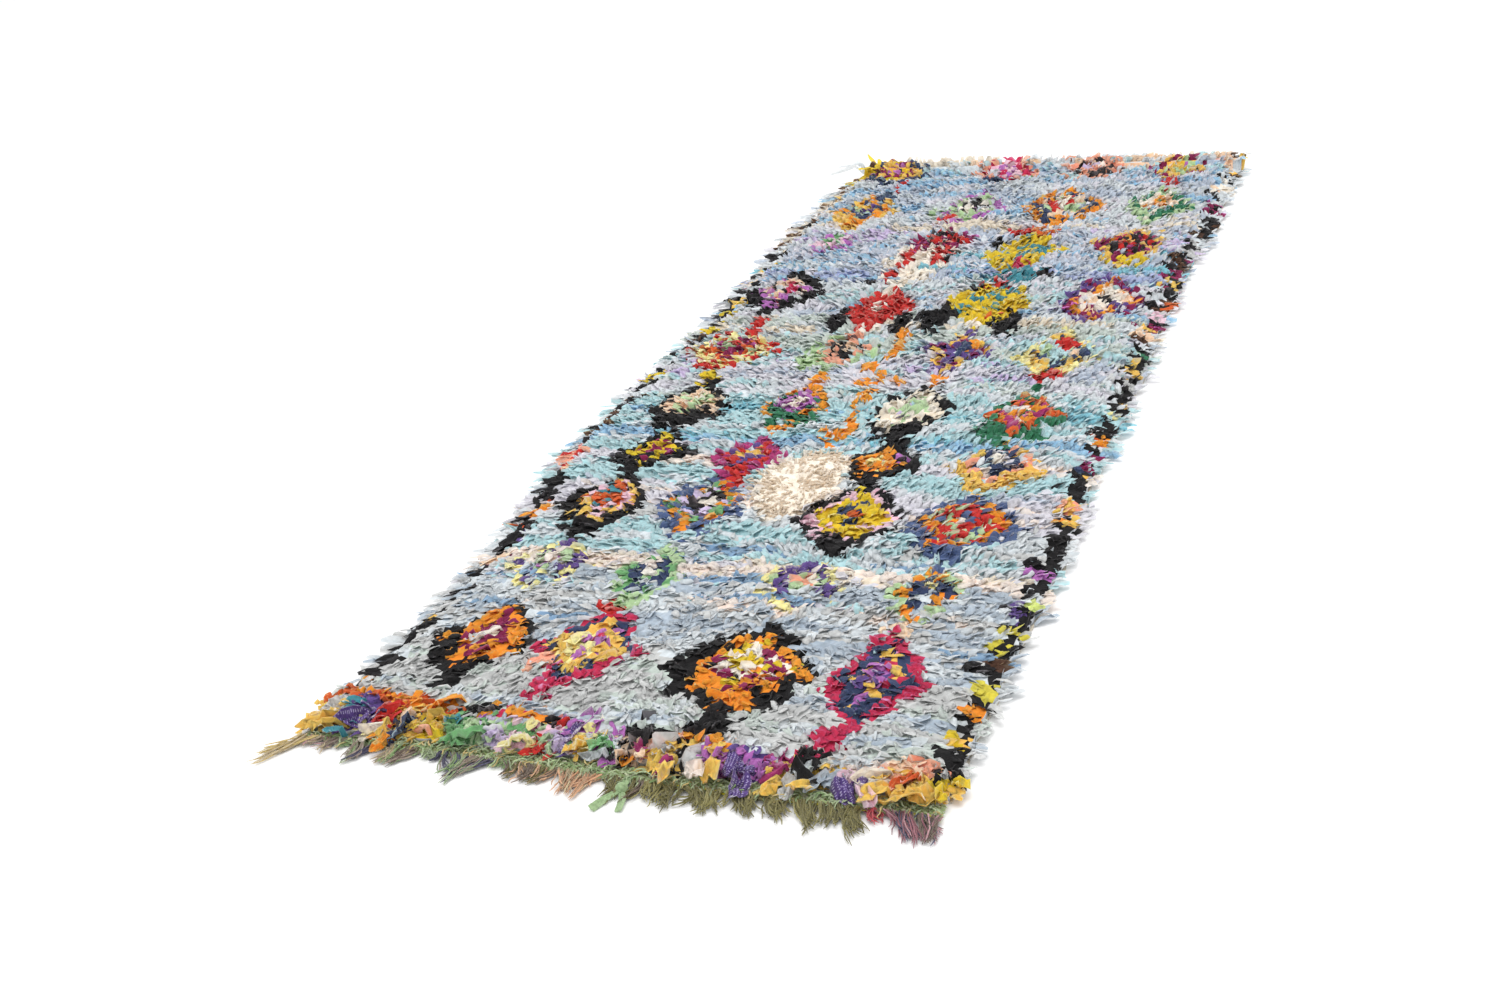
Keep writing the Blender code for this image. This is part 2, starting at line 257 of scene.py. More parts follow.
# The field. Knot rows of one torn garment after another, pale greys, blues and aqua, which run across
# the rug as soft stripes. Each band gives the y in cm where it ends, and its rags with their shares.
Band = collections.namedtuple("Band", "to rags")
FIELD = (
    Band(-118, "light_grey 7 mint_grey 3 ice 2 grey_blue 1"),
    Band(-112, "light_grey 4 ice 3 grey_blue 2"),
    Band(-103, "grey_blue 5 light_grey 2 ice 2 denim 1"),
    Band(-98, "ice 3 light_grey 3 pink_beige 2 grey_blue 1"),
    Band(-90, "grey_blue 4 ice 3 light_grey 2 aqua 1 lilac_white 1 denim 1"),
    Band(-84, "pink_beige 6 oatmeal 2 lilac_white 2"),
    Band(-79, "aqua 6 ice 2 denim 1"),
    Band(-76, "ice 4 aqua 2 light_grey 1"),
    Band(-71, "aqua 5 ice 2"),
    Band(-66, "light_grey 3 lilac_white 2 ice 2"),
    Band(-57, "lilac_white 6 pink_beige 1 ice 1"),
    Band(-54, "periwinkle 1 ice 2 lilac_white 2"),
    Band(-46.5, "aqua 7 ice 1"),
    Band(-42, "lilac_white 5 pink_beige 2"),
    Band(-37.5, "aqua 4 ice 2"),
    Band(-35.5, "ice 3 lilac_white 1"),
    Band(-32, "sky 4 deep_aqua 1 aqua 1"),
    Band(-25, "ice 3 aqua 4"),
    Band(-21.5, "aqua 5 ice 1"),
    Band(-17, "deep_aqua 2 aqua 3 sky 1"),
    Band(-10, "ice 3 aqua 4 mint_grey 1"),
    Band(-2, "lilac_white 3 ice 4 mint_grey 1 aqua 1"),
    Band(8, "periwinkle 3 lilac_white 3 ice 1 aqua 1 lilac 1"),
    Band(24, "mint_grey 4 aqua 3 lilac_white 1 grey_blue 1 ice 1"),
    Band(34, "mint_grey 3 ice 2 oatmeal 1"),
    Band(44, "sky 2 periwinkle 2 ice 3 lilac_white 2"),
    Band(58, "ice 4 lilac_white 3 aqua 2 mint_grey 1"),
    Band(64, "violet_blue 4 periwinkle 2 sky 1"),
    Band(78, "periwinkle 3 lilac_white 2 sky 2 ice 2 deep_aqua 1"),
    Band(95, "periwinkle 3 lilac_white 3 sky 1 ice 2 lilac 1"),
    Band(103, "oatmeal 3 lilac_white 3 ice 3"),
    Band(116, "periwinkle 3 lilac_white 2 ice 3 sky 1"),
    Band(140, "sky 2 periwinkle 4 ice 4 lilac_white 1"),
    Band(150, "periwinkle 3 sky 2 aqua 2 ice 3"),
    Band(160, "salmon 1 ice 3 peach 2 aqua 1 oatmeal 2"),
)

# The lozenges. Four to a row, each knotted in rings of a few bright rags. A motif gives its middle and
# half sizes in cm, how much of the field shows through it, and its rags from the outer ring inwards.
Motif = collections.namedtuple("Motif", "x y half_width half_length open rings")
MOTIFS = (
    Motif(-35, -116.5, 9, 14, 0.02, "black orange orange burgundy burgundy cream"),
    Motif(-40, -120, 2.6, 6, 0.0, "black"),
    Motif(-35, -128.5, 3, 5, 0.0, "black"),
    Motif(-15.5, -116.5, 9.5, 13.5, 0.02, "crimson navy mustard mustard pale_yellow orchid orchid"),
    Motif(-17, -103.5, 3.5, 3.5, 0.05, "red"),
    Motif(-17.5, -130.5, 2.8, 4, 0.0, "crimson"),
    Motif(-22, -121, 2.4, 4.5, 0.3, "salmon"),
    Motif(13.5, -119.5, 12.8, 15.5, 0.0, "black black orange orange burgundy cream yellow yellow"),
    Motif(3.6, -121.5, 2.6, 6.5, 0.0, "black"),
    Motif(14, -136, 4, 5, 0.0, "black"),
    Motif(34.5, -118.5, 8.5, 14, 0.0, "crimson navy navy mustard purple orchid"),
    Motif(33, -135, 2.5, 4.5, 0.0, "crimson"),
    Motif(-36, -90, 8.5, 11, 0.45, "pale_yellow purple light_green orchid"),
    Motif(-16, -92, 7, 11, 0.22, "light_green green navy navy cream"),
    Motif(13.5, -92, 8.5, 11.5, 0.28, "pale_yellow purple light_green salmon"),
    Motif(12, -84, 2, 3.5, 0.0, "purple"),
    Motif(35, -92, 6.5, 10.5, 0.10, "light_green orange navy navy pale_yellow"),
    Motif(34, -104, 2.5, 4, 0.25, "peach"),
    Motif(-37, -65.5, 9.5, 14.5, 0.0, "black black mustard pink rust rust teal"),
    Motif(-36, -77, 3.5, 4, 0.0, "black"),
    Motif(-17, -64.5, 9, 14.5, 0.02, "slate orange green lilac soft_black cream"),
    Motif(-14, -76, 3, 4, 0.0, "slate"),
    Motif(13.5, -66.5, 10.6, 15, 0.0, "black pink yellow yellow navy rust"),
    Motif(13, -76, 3.5, 4.5, 0.0, "black"),
    Motif(34.5, -67, 11, 15, 0.0, "slate slate orange red light_green red red cream"),
    Motif(-37, -43, 8.6, 11.5, 0.0, "black black yellow burgundy yellow burgundy"),
    Motif(-36.5, -53, 2.5, 3.5, 0.0, "black"),
    Motif(-15.5, -43, 8, 11.5, 0.06, "magenta red purple mustard orchid"),
    Motif(-14.5, -53.5, 3, 4, 0.0, "red"),
    Motif(11.5, -43.5, 9.4, 11.5, 0.0, "black black orange orange pale_yellow orchid"),
    Motif(12.5, -52, 3, 4, 0.0, "black"),
    Motif(35, -43.5, 9, 12, 0.20, "mustard mustard salmon navy navy lilac_white cream"),
    Motif(34.5, -53, 2.5, 3.5, 0.1, "mustard"),
    Motif(-38.5, -18.5, 9, 14.5, 0.03, "black black peach light_green peach light_green cream"),
    Motif(-38, -28, 3.5, 5, 0.0, "black"),
    Motif(-15, -19, 7.5, 13.5, 0.04, "orange dark_green orchid cream"),
    Motif(-17.5, -27, 3, 4, 0.1, "dark_green"),
    Motif(-10.5, -25, 2.5, 4, 0.1, "dark_green"),
    Motif(-14.5, -5, 2.5, 4, 0.1, "orange"),
    Motif(11, -20.5, 9.4, 15.5, 0.04, "black oatmeal cream light_green lilac"),
    Motif(12.5, -29, 4, 6, 0.0, "black"),
    Motif(11.5, -34, 3, 4, 0.0, "black"),
    Motif(34, -20, 8.5, 14, 0.03, "dark_green rust magenta orange cream"),
    Motif(30, -28, 3.5, 4.5, 0.05, "dark_green"),
    Motif(37.5, -28, 3.5, 4.5, 0.05, "dark_green"),
    Motif(34, -10, 4.5, 3.5, 0.1, "dark_green"),
    Motif(34, -6, 2.5, 3, 0.0, "dark_green"),
    Motif(-41, 12, 12, 13, 0.10, "red pale_yellow rust burgundy light_green red"),
    Motif(-41, -3, 2.5, 4, 0.1, "yellow"),
    Motif(-20.5, 8, 4, 7.5, 0.0, "light_green"),
    Motif(-15, 13, 8.5, 12.5, 0.12, "light_green salmon soft_black peach soft_black"),
    Motif(-14.5, 22, 2, 5, 0.1, "salmon"),
    Motif(12, 13, 8, 14, 0.04, "purple mustard burgundy purple navy orange"),
    Motif(11.5, -2, 2.5, 5, 0.1, "orange"),
    Motif(34, 12, 9.5, 14.5, 0.10, "pale_yellow mustard navy light_green peach"),
    Motif(34.5, 1, 3.2, 4.5, 0.0, "red"),
    Motif(35, 18.5, 3, 4.5, 0.0, "red"),
    Motif(-41.5, 48, 10.5, 16, 0.05, "black black orchid peach crimson cream"),
    Motif(-41, 29, 2, 5, 0.1, "red"),
    Motif(-21.5, 33, 3.2, 10, 0.0, "black"),
    Motif(-6, 29, 3, 6, 0.0, "black"),
    Motif(-14, 39, 9.5, 14.5, 0.0, "red red red red cream"),
    Motif(-13, 26, 4, 4, 0.2, "cream"),
    Motif(-14.5, 69, 9, 22, 0.04, "cream cream cream pink_beige"),
    Motif(-14, 60, 8, 10, 0.05, "cream"),
    Motif(-14, 79, 8.5, 10, 0.05, "cream"),
    Motif(-18.5, 61, 1.8, 8, 0.1, "red"),
    Motif(-9.5, 77, 2.2, 12, 0.1, "red"),
    Motif(-17, 75, 1.8, 7, 0.1, "red burgundy"),
    Motif(-22, 57, 1.6, 5, 0.2, "soft_black"),
    Motif(-6, 76, 1.6, 5, 0.2, "soft_black"),
    Motif(-12, 66, 2, 4, 0.0, "deep_aqua"),
    Motif(-13.5, 87, 9, 8, 0.05, "burgundy red soft_black red cream"),
    Motif(2, 34, 4.5, 11, 0.0, "black"),
    Motif(18.5, 31, 4.5, 10, 0.0, "black"),
    Motif(11.5, 43, 10.5, 17, 0.0, "yellow yellow yellow teal yellow"),
    Motif(6, 52, 1.6, 4, 0.0, "black"),
    Motif(6, 38, 1.6, 3.5, 0.0, "teal"),
    Motif(14.5, 50, 2, 4, 0.0, "teal"),
    Motif(14, 35, 1.5, 3, 0.0, "rust"),
    Motif(12, 27.5, 3.5, 4, 0.1, "cream"),
    Motif(11.5, 77, 10, 16, 0.02, "yellow yellow yellow teal yellow"),
    Motif(13, 60.5, 10, 6, 0.0, "teal"),
    Motif(9.5, 56, 4.5, 3, 0.0, "red"),
    Motif(12, 60, 1.8, 3.5, 0.0, "pink"),
    Motif(16, 81, 1.6, 5, 0.0, "teal"),
    Motif(7, 76, 1.6, 4, 0.0, "teal"),
    Motif(12.5, 68.5, 2, 4, 0.0, "crimson"),
    Motif(7.5, 93, 3.5, 5.5, 0.0, "red orange"),
    Motif(14, 92, 4, 4, 0.1, "rust peach"),
    Motif(3.5, 84, 1.8, 5, 0.1, "black"),
    Motif(20.5, 60, 2.2, 5, 0.2, "soft_black"),
    Motif(37, 45, 10.5, 17, 0.05, "purple burgundy orange peach cream cream soft_black"),
    Motif(-42, 84, 6, 11, 0.25, "orchid pink green pink"),
    Motif(36.5, 82, 9.5, 15, 0.08, "mustard burgundy soft_black red soft_black orange"),
    Motif(38, 71, 6, 4, 0.5, "yellow"),
    Motif(41, 92, 3, 3.5, 0.2, "mustard"),
    Motif(-42, 111, 9.5, 15, 0.12, "mustard orange navy light_green purple"),
    Motif(-39, 124, 3, 5, 0.1, "navy"),
    Motif(-12, 112, 10, 15, 0.14, "orchid light_green cream soft_black"),
    Motif(-17, 104, 3, 5, 0.1, "red"),
    Motif(-21, 111, 3, 4, 0.1, "light_green"),
    Motif(13, 112, 11.5, 16, 0.08, "orange navy peach light_green red cream"),
    Motif(8, 124, 2, 6, 0.0, "orange"),
    Motif(38, 113, 9.5, 14, 0.08, "light_green dark_green cream peach orange"),
    Motif(-44, 147, 11, 11, 0.06, "navy mustard burgundy yellow orchid mustard"),
    Motif(-38, 133, 2, 6, 0.2, "red"),
    Motif(-11, 146, 9.5, 10.5, 0.06, "salmon crimson pink orchid pink"),
    Motif(-12.5, 138, 3.5, 4, 0.0, "navy"),
    Motif(-4, 143, 2, 6, 0.3, "green"),
    Motif(14.5, 145.5, 10, 10, 0.05, "salmon soft_black salmon lilac cream"),
    Motif(38, 145, 8.5, 11.5, 0.08, "burgundy mustard light_green orchid yellow"),
    Motif(38, 131, 3, 5, 0.0, "red"),
)

# A thin zigzag of orange rags that wanders down the middle of the field, as points in cm.
ZIGZAG = ((-4, 26), (-2.5, 13), (-4.5, 4), (-1.5, -3), (3, -3), (-6.5, -3.5), (-1.5, -9), (-1, -22),
          (1.5, -28), (-4, -33), (0, -36))
ZIGZAG_HALF_WIDTH = 1.1
ZIGZAG_GAPS = 0.15

# Neighbouring knots are of one rag, and some groups of them stray from their ring's colour. The inner
# rings lie nearer the far end, so the outer ring is thickest in front, less so in the first two rows.
# Every motif lies MOTIF_SHIFT further right than its place says, and its edge is ragged.
KNOT_GROUP_X = 0.021
KNOT_GROUP_Y = 0.024
GROUP_WOBBLE = 0.008
WOBBLE_ALONG = 131
WOBBLE_ACROSS = 117
STRAY_SHARE = 0.20
STRAY_WITHIN = 0.66
INNER_LIFT = 0.042
LIFTED_FROM = -80
FRONT_LIFT = 0.7
MOTIF_SHIFT = 0.012
LOZENGE_POWER = 1.06
RAGGED_BY = 0.10
RAGGED_SIZE = 0.028
RAGGED_BY_KNOT = 0.20
# Numbers with no common measure, which scatter the groups' shares evenly from 0 to 1.
SCATTER_ACROSS = 127.1
SCATTER_ALONG = 311.7
SCATTER_SEED = 74.7
SCATTER_WIDTH = 43758.5453

# The cream tuft, where a patch of curly yarn is knotted in place of rag: middle and half sizes in cm,
# and how much narrower it is at its front end.
TUFT = Motif(0.2, -53.5, 8.7, 16.0, 0.0, "cream")
TUFT_NARROWING = 0.45
TUFT_GROUND = 1.02

# The field's streaks of one garment, which run along the knot rows, and its bands, whose ends wave.
STREAK_X = 0.20
STREAK_Y = 0.034
STREAK_BY_KNOT = 0.30
STREAK_BY_STRIP = 0.03
WAVE_BY = 1.6
WAVE_X = 0.16
WAVE_Y = 0.4
WAVE_BLUR = 0.3
BELOW_ONE = 0.9999


def lozenge(motif, x, y):
    """How far out each point lies in a motif: 0 at its middle, 1 at its edge."""
    across = np.abs(x * 100 - motif.x) / motif.half_width
    along = np.abs(y * 100 - motif.y) / motif.half_length
    return (across ** LOZENGE_POWER + along ** LOZENGE_POWER) ** (1 / LOZENGE_POWER)


def knot_share(x, y, seed):
    """A random share from 0 to 1, the same for the strips of each few neighbouring knots."""
    across = np.floor((x + GROUP_WOBBLE * np.sin(y * WOBBLE_ALONG + seed)) / KNOT_GROUP_X)
    along = np.floor((y + GROUP_WOBBLE * np.sin(x * WOBBLE_ACROSS + seed)) / KNOT_GROUP_Y)
    mixed = across * SCATTER_ACROSS + along * SCATTER_ALONG + seed * SCATTER_SEED
    share = np.sin(mixed) * SCATTER_WIDTH
    return share - np.floor(share)


def in_tuft(x, y):
    """How far out each point lies in the tuft: 0 at its middle, 1 at its edge."""
    along = (y * 100 - TUFT.y) / TUFT.half_length
    wide = TUFT.half_width * (1 - TUFT_NARROWING * np.clip(-along, 0, 1))
    return np.hypot(np.abs(x * 100 - TUFT.x) / wide, along)


def pick_by_share(share, words):
    """Picks from a text of names and weights, by shares from 0 to 1."""
    parts = words.split()
    names = [rag(word) for word in parts[::2]]
    weights = np.cumsum([float(word) for word in parts[1::2]])
    return np.array(names)[np.searchsorted(weights / weights[-1], np.clip(share, 0, BELOW_ONE))]


def field_rag(x, y, chance):
    """The rag of the plain field at each point."""
    streak = drift(x, y, STREAK_X, STREAK_Y, seed=4.2) + STREAK_BY_KNOT * knot_share(x, y, seed=3.0)
    streak = streak + STREAK_BY_STRIP * chance.normal(size=len(x))
    ranks = np.argsort(np.argsort(streak)) / len(streak)
    wave = y * 100 + WAVE_BY * drift(x, y, WAVE_X, WAVE_Y, seed=7.7)
    wave = wave + WAVE_BLUR * chance.normal(size=len(x))
    band = np.searchsorted([b.to for b in FIELD], wave)
    found = np.zeros(len(x), int)
    for number, row in enumerate(FIELD):
        here = band == number
        found[here] = pick_by_share(ranks[here], row.rags)
    return found


def near_line(x, y, points):
    """The distance in cm from each point to a line through the points."""
    spots = np.stack([x, y], 1) * 100
    least = np.full(len(x), np.inf)
    for a, b in zip(points, points[1:]):
        a, b = np.array(a, float), np.array(b, float)
        share = np.clip((spots - a) @ (b - a) / ((b - a) @ (b - a)), 0, 1)
        least = np.minimum(least, np.linalg.norm(spots - (a + share[:, None] * (b - a)), axis=1))
    return least


# The side borders. A broken, saw-edged column of black rags runs just inside each selvedge, with
# single rags of bright colour in it, and paler locks hang outside it. Each run gives the y in cm
# where it ends, from the front, and its rags, mixed.
Run = collections.namedtuple("Run", "to rags")
LEFT_BORDER = (
    Run(-134, "rust salmon light_grey"), Run(-131, "black orange"), Run(-121.5, "black"),
    Run(-119.5, "ice black"), Run(-111, "black"), Run(-107.5, "mustard black"),
    Run(-104, "light_grey black"), Run(-98, "black"), Run(-95, "grey_blue ice"),
    Run(-89, "black black ice"), Run(-86, "burgundy peach black"), Run(-80, "black"),
    Run(-77, "purple black"), Run(-74, "black"), Run(-70, "pale_yellow black rust"),
    Run(-66, "salmon orange black"), Run(-62, "rust black"), Run(-51, "black"),
    Run(-46, "black peach red"), Run(-38, "salmon black red ice"), Run(-31, "sky black ice"),
    Run(-26, "umber black"), Run(-22, "rust umber"), Run(-12, "black umber ice"),
    Run(-3, "black black ice"), Run(0, "yellow"), Run(8, "umber black ice"),
    Run(15, "ice aqua black"), Run(25, "black umber"), Run(34, "black yellow ice"),
    Run(43, "yellow black black"), Run(50, "mustard black"), Run(58, "black burgundy ice"),
    Run(74, "ice mustard pink_beige black"), Run(84, "black ice ice"), Run(96, "umber oatmeal ice"),
    Run(106, "umber black oatmeal"), Run(120, "ice pink_beige oatmeal umber"),
    Run(130, "mustard umber oatmeal"), Run(160, "yellow oatmeal umber ice"),
)
RIGHT_BORDER = (
    Run(-133, "black"), Run(-130, "mustard yellow"), Run(-126, "ice black light_grey"),
    Run(-122, "orange black"), Run(-119.5, "black"), Run(-115.5, "citron"), Run(-112, "black"),
    Run(-109, "black umber"), Run(-106, "black"), Run(-103, "citron black"), Run(-100.5, "black"),
    Run(-97, "citron black"), Run(-92, "black purple"), Run(-86, "lime black ice"), Run(-82, "black"),
    Run(-80.5, "orchid"), Run(-71, "black"), Run(-67, "mustard black"), Run(-63, "black"),
    Run(-58, "mustard orange black"), Run(-53, "salmon mustard"), Run(-45, "black"),
    Run(-40, "navy mustard black"), Run(-33, "burgundy black ice"), Run(-30, "black ice"),
    Run(-26, "rust orange"), Run(-21, "black"), Run(-15, "pale_yellow aqua black"),
    Run(-11, "black ice"), Run(-6, "mustard black"), Run(-2, "black"), Run(2, "light_grey black"),
    Run(8, "mustard black mustard"), Run(14, "black"), Run(21, "dark_green black ice"),
    Run(29, "umber peach ice"), Run(35, "burgundy black mustard"), Run(42, "cream pink light_grey"),
    Run(49, "rust black umber"), Run(56, "burgundy black ice"), Run(68, "mustard burgundy black ice"),
    Run(76, "burgundy umber black"), Run(88, "black ice light_grey"), Run(97, "black ice umber"),
    Run(107, "black umber black ice"), Run(110, "ice black"), Run(118, "burgundy black ice light_grey"),
    Run(127, "ice light_grey black"), Run(136, "peach ice cream"), Run(142, "black ice"),
    Run(160, "mustard peach umber ice"),
)
BORDER_DEPTH = 0.046
BORDER_INSET = 0.003
BORDER_OUTWARD = 0.010
BORDER_OVER = 0.5
SAW_PITCH = 0.062
SAW_LEAST = 0.45
SAW_TOOTH = 0.55
SAW_RAGGED = 0.25
SAW_RAGGED_SIZE = 0.02

# The front band. The first knot rows are of the largest rags, with a row of orange and peach knots
# behind them. Here, each run gives the x in cm where it ends.
ORANGE_ROW = (
    Run(-47, "light_grey rust"), Run(-38, "rust orange rust"), Run(-27, "orange rust orange"),
    Run(-20, "light_grey black"), Run(-15, "crimson orange"), Run(-11, "orange"), Run(-9, "black"),
    Run(-2, "light_grey orchid"), Run(3, "ice mint_grey"), Run(8, "black"), Run(15, "black orange"),
    Run(21, "orange ice"), Run(30, "ice light_grey"), Run(36, "black crimson"),
    Run(44, "pink_beige ice"), Run(51, "salmon peach"), Run(60, "salmon black"),
)
LARGE_RAGS = (
    Run(-46, "mustard light_grey mustard"), Run(-43, "teal purple"), Run(-39, "purple pale_yellow"),
    Run(-36, "red mustard orange"), Run(-32, "navy mustard"), Run(-27, "yellow mustard"),
    Run(-20, "green light_green green"), Run(-16, "lilac grey_blue light_green"),
    Run(-11, "pale_yellow pink green"), Run(-7, "red light_green pink"), Run(-5, "purple* lilac"),
    Run(-1, "mustard pale_yellow green"), Run(3, "ice orchid green"), Run(7, "soft_black peach orange"),
    Run(12, "mustard light_grey magenta"), Run(16, "black mustard light_grey"),
    Run(20, "mustard orchid"), Run(26, "purple* orchid"), Run(31, "mustard orchid magenta"),
    Run(36, "black ice mustard"), Run(39, "grey_blue mustard"), Run(43, "purple* pink pink_beige"),
    Run(48, "mustard salmon mustard"), Run(60, "mustard yellow mustard"),
)
BAND_DEPTH = 0.058
ORANGE_DEPTH = 0.082
BAND_X = (-0.50, -0.20, 0.50)
BAND_SHARES = (1.0, 0.86, 0.76)
BAND_RAGGED = 0.004
BAND_RAGGED_SIZE = 0.03
RUN_BLUR = 0.3
FRONT_WAVE = 0.0035
FRONT_WAVES = 0.9
FRONT_WAVE_START = 0.15
FRONT_SLANT = 0.025


def heading_wave(x):
    """How far the front edge runs forward or back at x: it slants, and wanders with the warp."""
    share = (x + EDGE_LEFT[0]) / (EDGE_LEFT[0] + EDGE_RIGHT[0])
    wave = FRONT_WAVE * np.sin(math.tau * (FRONT_WAVES * share + FRONT_WAVE_START))
    return wave + FRONT_SLANT * (0.5 - share)


def band_share(x):
    """How deep the front band is at x, as a share of its depth at the left."""
    return np.interp(x, BAND_X, BAND_SHARES)


def from_edge(x, y):
    """How far inside the nearer woven edge each point lies."""
    right_edge = np.interp(y, EDGE_Y, EDGE_RIGHT)
    left_edge = np.interp(y, EDGE_Y, EDGE_LEFT)
    return np.where(x > 0, right_edge - x, left_edge + x)


def run_rags(runs, place, share, chance):
    """The rag at each place in cm along a row of runs, picked within its run by share."""
    lots = [[rag(word.strip("*")) for word in run.rags.split()] for run in runs]
    blurred = place + RUN_BLUR * chance.normal(size=len(place))
    found = np.searchsorted([run.to for run in runs[:-1]], blurred)
    return np.array([lots[lot][int(share * len(lots[lot]))] for lot, share in zip(found, share)])


def rag_at(x, y, chance):
    """The rag that shows at each point of the pile."""
    found = field_rag(x, y, chance)
    blur = RAGGED_BY * drift(x, y, RAGGED_SIZE, RAGGED_SIZE, seed=1.3)
    blur = blur + RAGGED_BY_KNOT * (knot_share(x, y, seed=8.0) - 0.5)
    stray = knot_share(x, y, seed=1.0) < STRAY_SHARE
    other, gap = knot_share(x, y, seed=2.0), knot_share(x, y, seed=4.0)
    for motif in MOTIFS:
        out = lozenge(motif, x - MOTIF_SHIFT, y)
        lift = INNER_LIFT * (1 if motif.y > LIFTED_FROM else FRONT_LIFT)
        out = lozenge(motif, x - MOTIF_SHIFT, y - lift * np.clip(1 - out, 0, 1)) + blur
        names = [rag(word) for word in motif.rings.split()]
        inside = (out < 1) & (gap >= motif.open)
        ring = np.where(stray & (out < STRAY_WITHIN), other, 1 - np.clip(out, 0, 1)) * len(names)
        ring = np.floor(ring).astype(int)
        found[inside] = np.array(names)[np.clip(ring, 0, len(names) - 1)][inside]
    line = near_line(x - MOTIF_SHIFT, y, ZIGZAG) < ZIGZAG_HALF_WIDTH
    found[line & (gap > ZIGZAG_GAPS)] = rag("orange")
    saw = np.abs((y / SAW_PITCH) % 1 - 0.5) * 2
    inside = from_edge(x, y)
    ragged = 1 + SAW_RAGGED * drift(x, y, SAW_RAGGED_SIZE, SAW_RAGGED_SIZE, seed=3.1)
    deep = BORDER_DEPTH * (SAW_LEAST + SAW_TOOTH * saw) * ragged
    outmost = BORDER_INSET - BORDER_OUTWARD * np.clip(y / BORDER_OVER, 0, 1)
    for runs, side in ((LEFT_BORDER, x < 0), (RIGHT_BORDER, x > 0)):
        edge = side & (inside < deep) & (inside > outmost)
        found[edge] = run_rags(runs, y[edge] * 100, other[edge], chance)
    front_y = pile_low.y + heading_wave(x)
    behind = y - front_y + BAND_RAGGED * drift(x, y, BAND_RAGGED_SIZE, BAND_RAGGED_SIZE, seed=9.1)
    for runs, depth in ((ORANGE_ROW, ORANGE_DEPTH), (LARGE_RAGS, BAND_DEPTH)):
        front = behind < depth * band_share(x)
        found[front] = run_rags(runs, x[front] * 100, other[front], chance)
    found[in_tuft(x, y) < TUFT_GROUND] = rag("cream")
    return found


# The rag pile. Strips torn from jersey and shirting, knotted in close rows on the ground and cut to
# stand 20 to 48 mm high. Thin strips about 12 mm wide make the pale field, and thicker ones the
# lozenges. Each is its own small closed mesh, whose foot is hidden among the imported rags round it.
ROW_PITCH = 0.0122
KNOT_PITCH = 0.0126
KNOT_SPREAD = 0.0028
FIELD_WIDTH = 0.0116
FIELD_REACH = 0.0290
BRIGHT_WIDTH = 0.0160
BRIGHT_REACH = 0.0280
BRIGHT_SHARE = 0.80
SHOWN_AT = 0.70
CLOTH_THICKNESS = 0.0009
LEAST_HEIGHT = 0.0012
MOST_HEIGHT = 0.0480
MOST_OUT = 0.615
LEAST_RISE = 0.013
HIDDEN_SHARE = 0.42
# The strips nearest the sides and the far end reach further than the rest: how much, by their place.
SIDE_ROOM = 0.030
RIGHT_Y = (-1.45, -1.25, -1.08, -0.96, -0.86, 1.55)
RIGHT_STRETCH = (0.9, 1.0, 1.4, 1.6, 0.95, 1.15)
LEFT_Y = (-1.45, -0.90, -0.70, -0.15, 0.05, 0.25, 1.55)
LEFT_STRETCH = (1.4, 1.7, 2.0, 1.5, 1.2, 1.9, 1.8)
BACK_X = (-0.40, 0.10, 0.30)
BACK_STRETCH = (2.2, 2.0, 1.2)
BACK_ROOM = 0.045
BACK_STAND = 0.047
# Towards the far end the strips stand up by as much as UPRIGHT_TURN degrees, and are a little taller.
# They reach less far, are wider, have more of their foot hidden, and point every way.
UPRIGHT_FROM = -1.10
UPRIGHT_OVER = 1.60
UPRIGHT_TURN = 34
UPRIGHT_RISE = 0.0050
UPRIGHT_SHORT = 0.42
UPRIGHT_WIDE = 0.40
UPRIGHT_HIDDEN = 0.20
UPRIGHT_SPLAY = 0.45
FIELD_PIECES = 4
BRIGHT_PIECES = 2
PALE_RAGS = {
    "light_grey", "mint_grey", "ice", "grey_blue", "denim", "periwinkle", "lilac_white", "aqua",
    "deep_aqua", "sky", "violet_blue", "pink_beige", "oatmeal",
}

# A strip's section, from its right edge over the top to its left edge and back beneath. FLAT has one
# fold along its middle, FOLDED has two and PLEATED three.
Section = collections.namedtuple("Section", "across column under caps")
FLAT = Section((-1, 0.1, 1, 0.1), (0, 1, 2, 1), (0, 0, 0, 1), ((0, 1, 2, 3),))
FOLDED = Section(
    (-1, -0.35, 0.4, 1, 0.4, -0.35), (0, 1, 2, 3, 2, 1), (0, 0, 0, 0, 1, 1), ((0, 1, 4, 5), (1, 2, 3, 4))
)
PLEATED = Section(
    (-1, -0.55, -0.1, 0.45, 1, 0.45, -0.1, -0.55), (0, 1, 2, 3, 4, 3, 2, 1), (0, 0, 0, 0, 0, 1, 1, 1),
    ((0, 1, 6, 7), (1, 2, 5, 6), (2, 3, 4, 5))
)

# How a torn strip wanders, leans in degrees at its root, tapers, curls and ends.
RING_KEEPS = 0.55
RING_ADDS = 0.83
RING_SPACING = 0.85
ROOT_LEAN = (5, 25)
TURN_STRAY = 0.35
TILT_STRAY = 0.35
TAPER_AT = (0, 0.35, 0.75, 1)
TAPER = (0.55, 0.95, 1.05, 0.8)
EDGE_STRAY = 0.10
ARCH = 0.1
ARCH_STRAY = 0.28
END_SLANT = 0.75


def wander(chance, count, rings, columns):
    """Random numbers that drift from one ring of a strip to the next."""
    steps = chance.normal(size=(count, rings, columns))
    for ring in range(1, rings):
        steps[:, ring] = RING_KEEPS * steps[:, ring - 1] + RING_ADDS * steps[:, ring]
    return steps


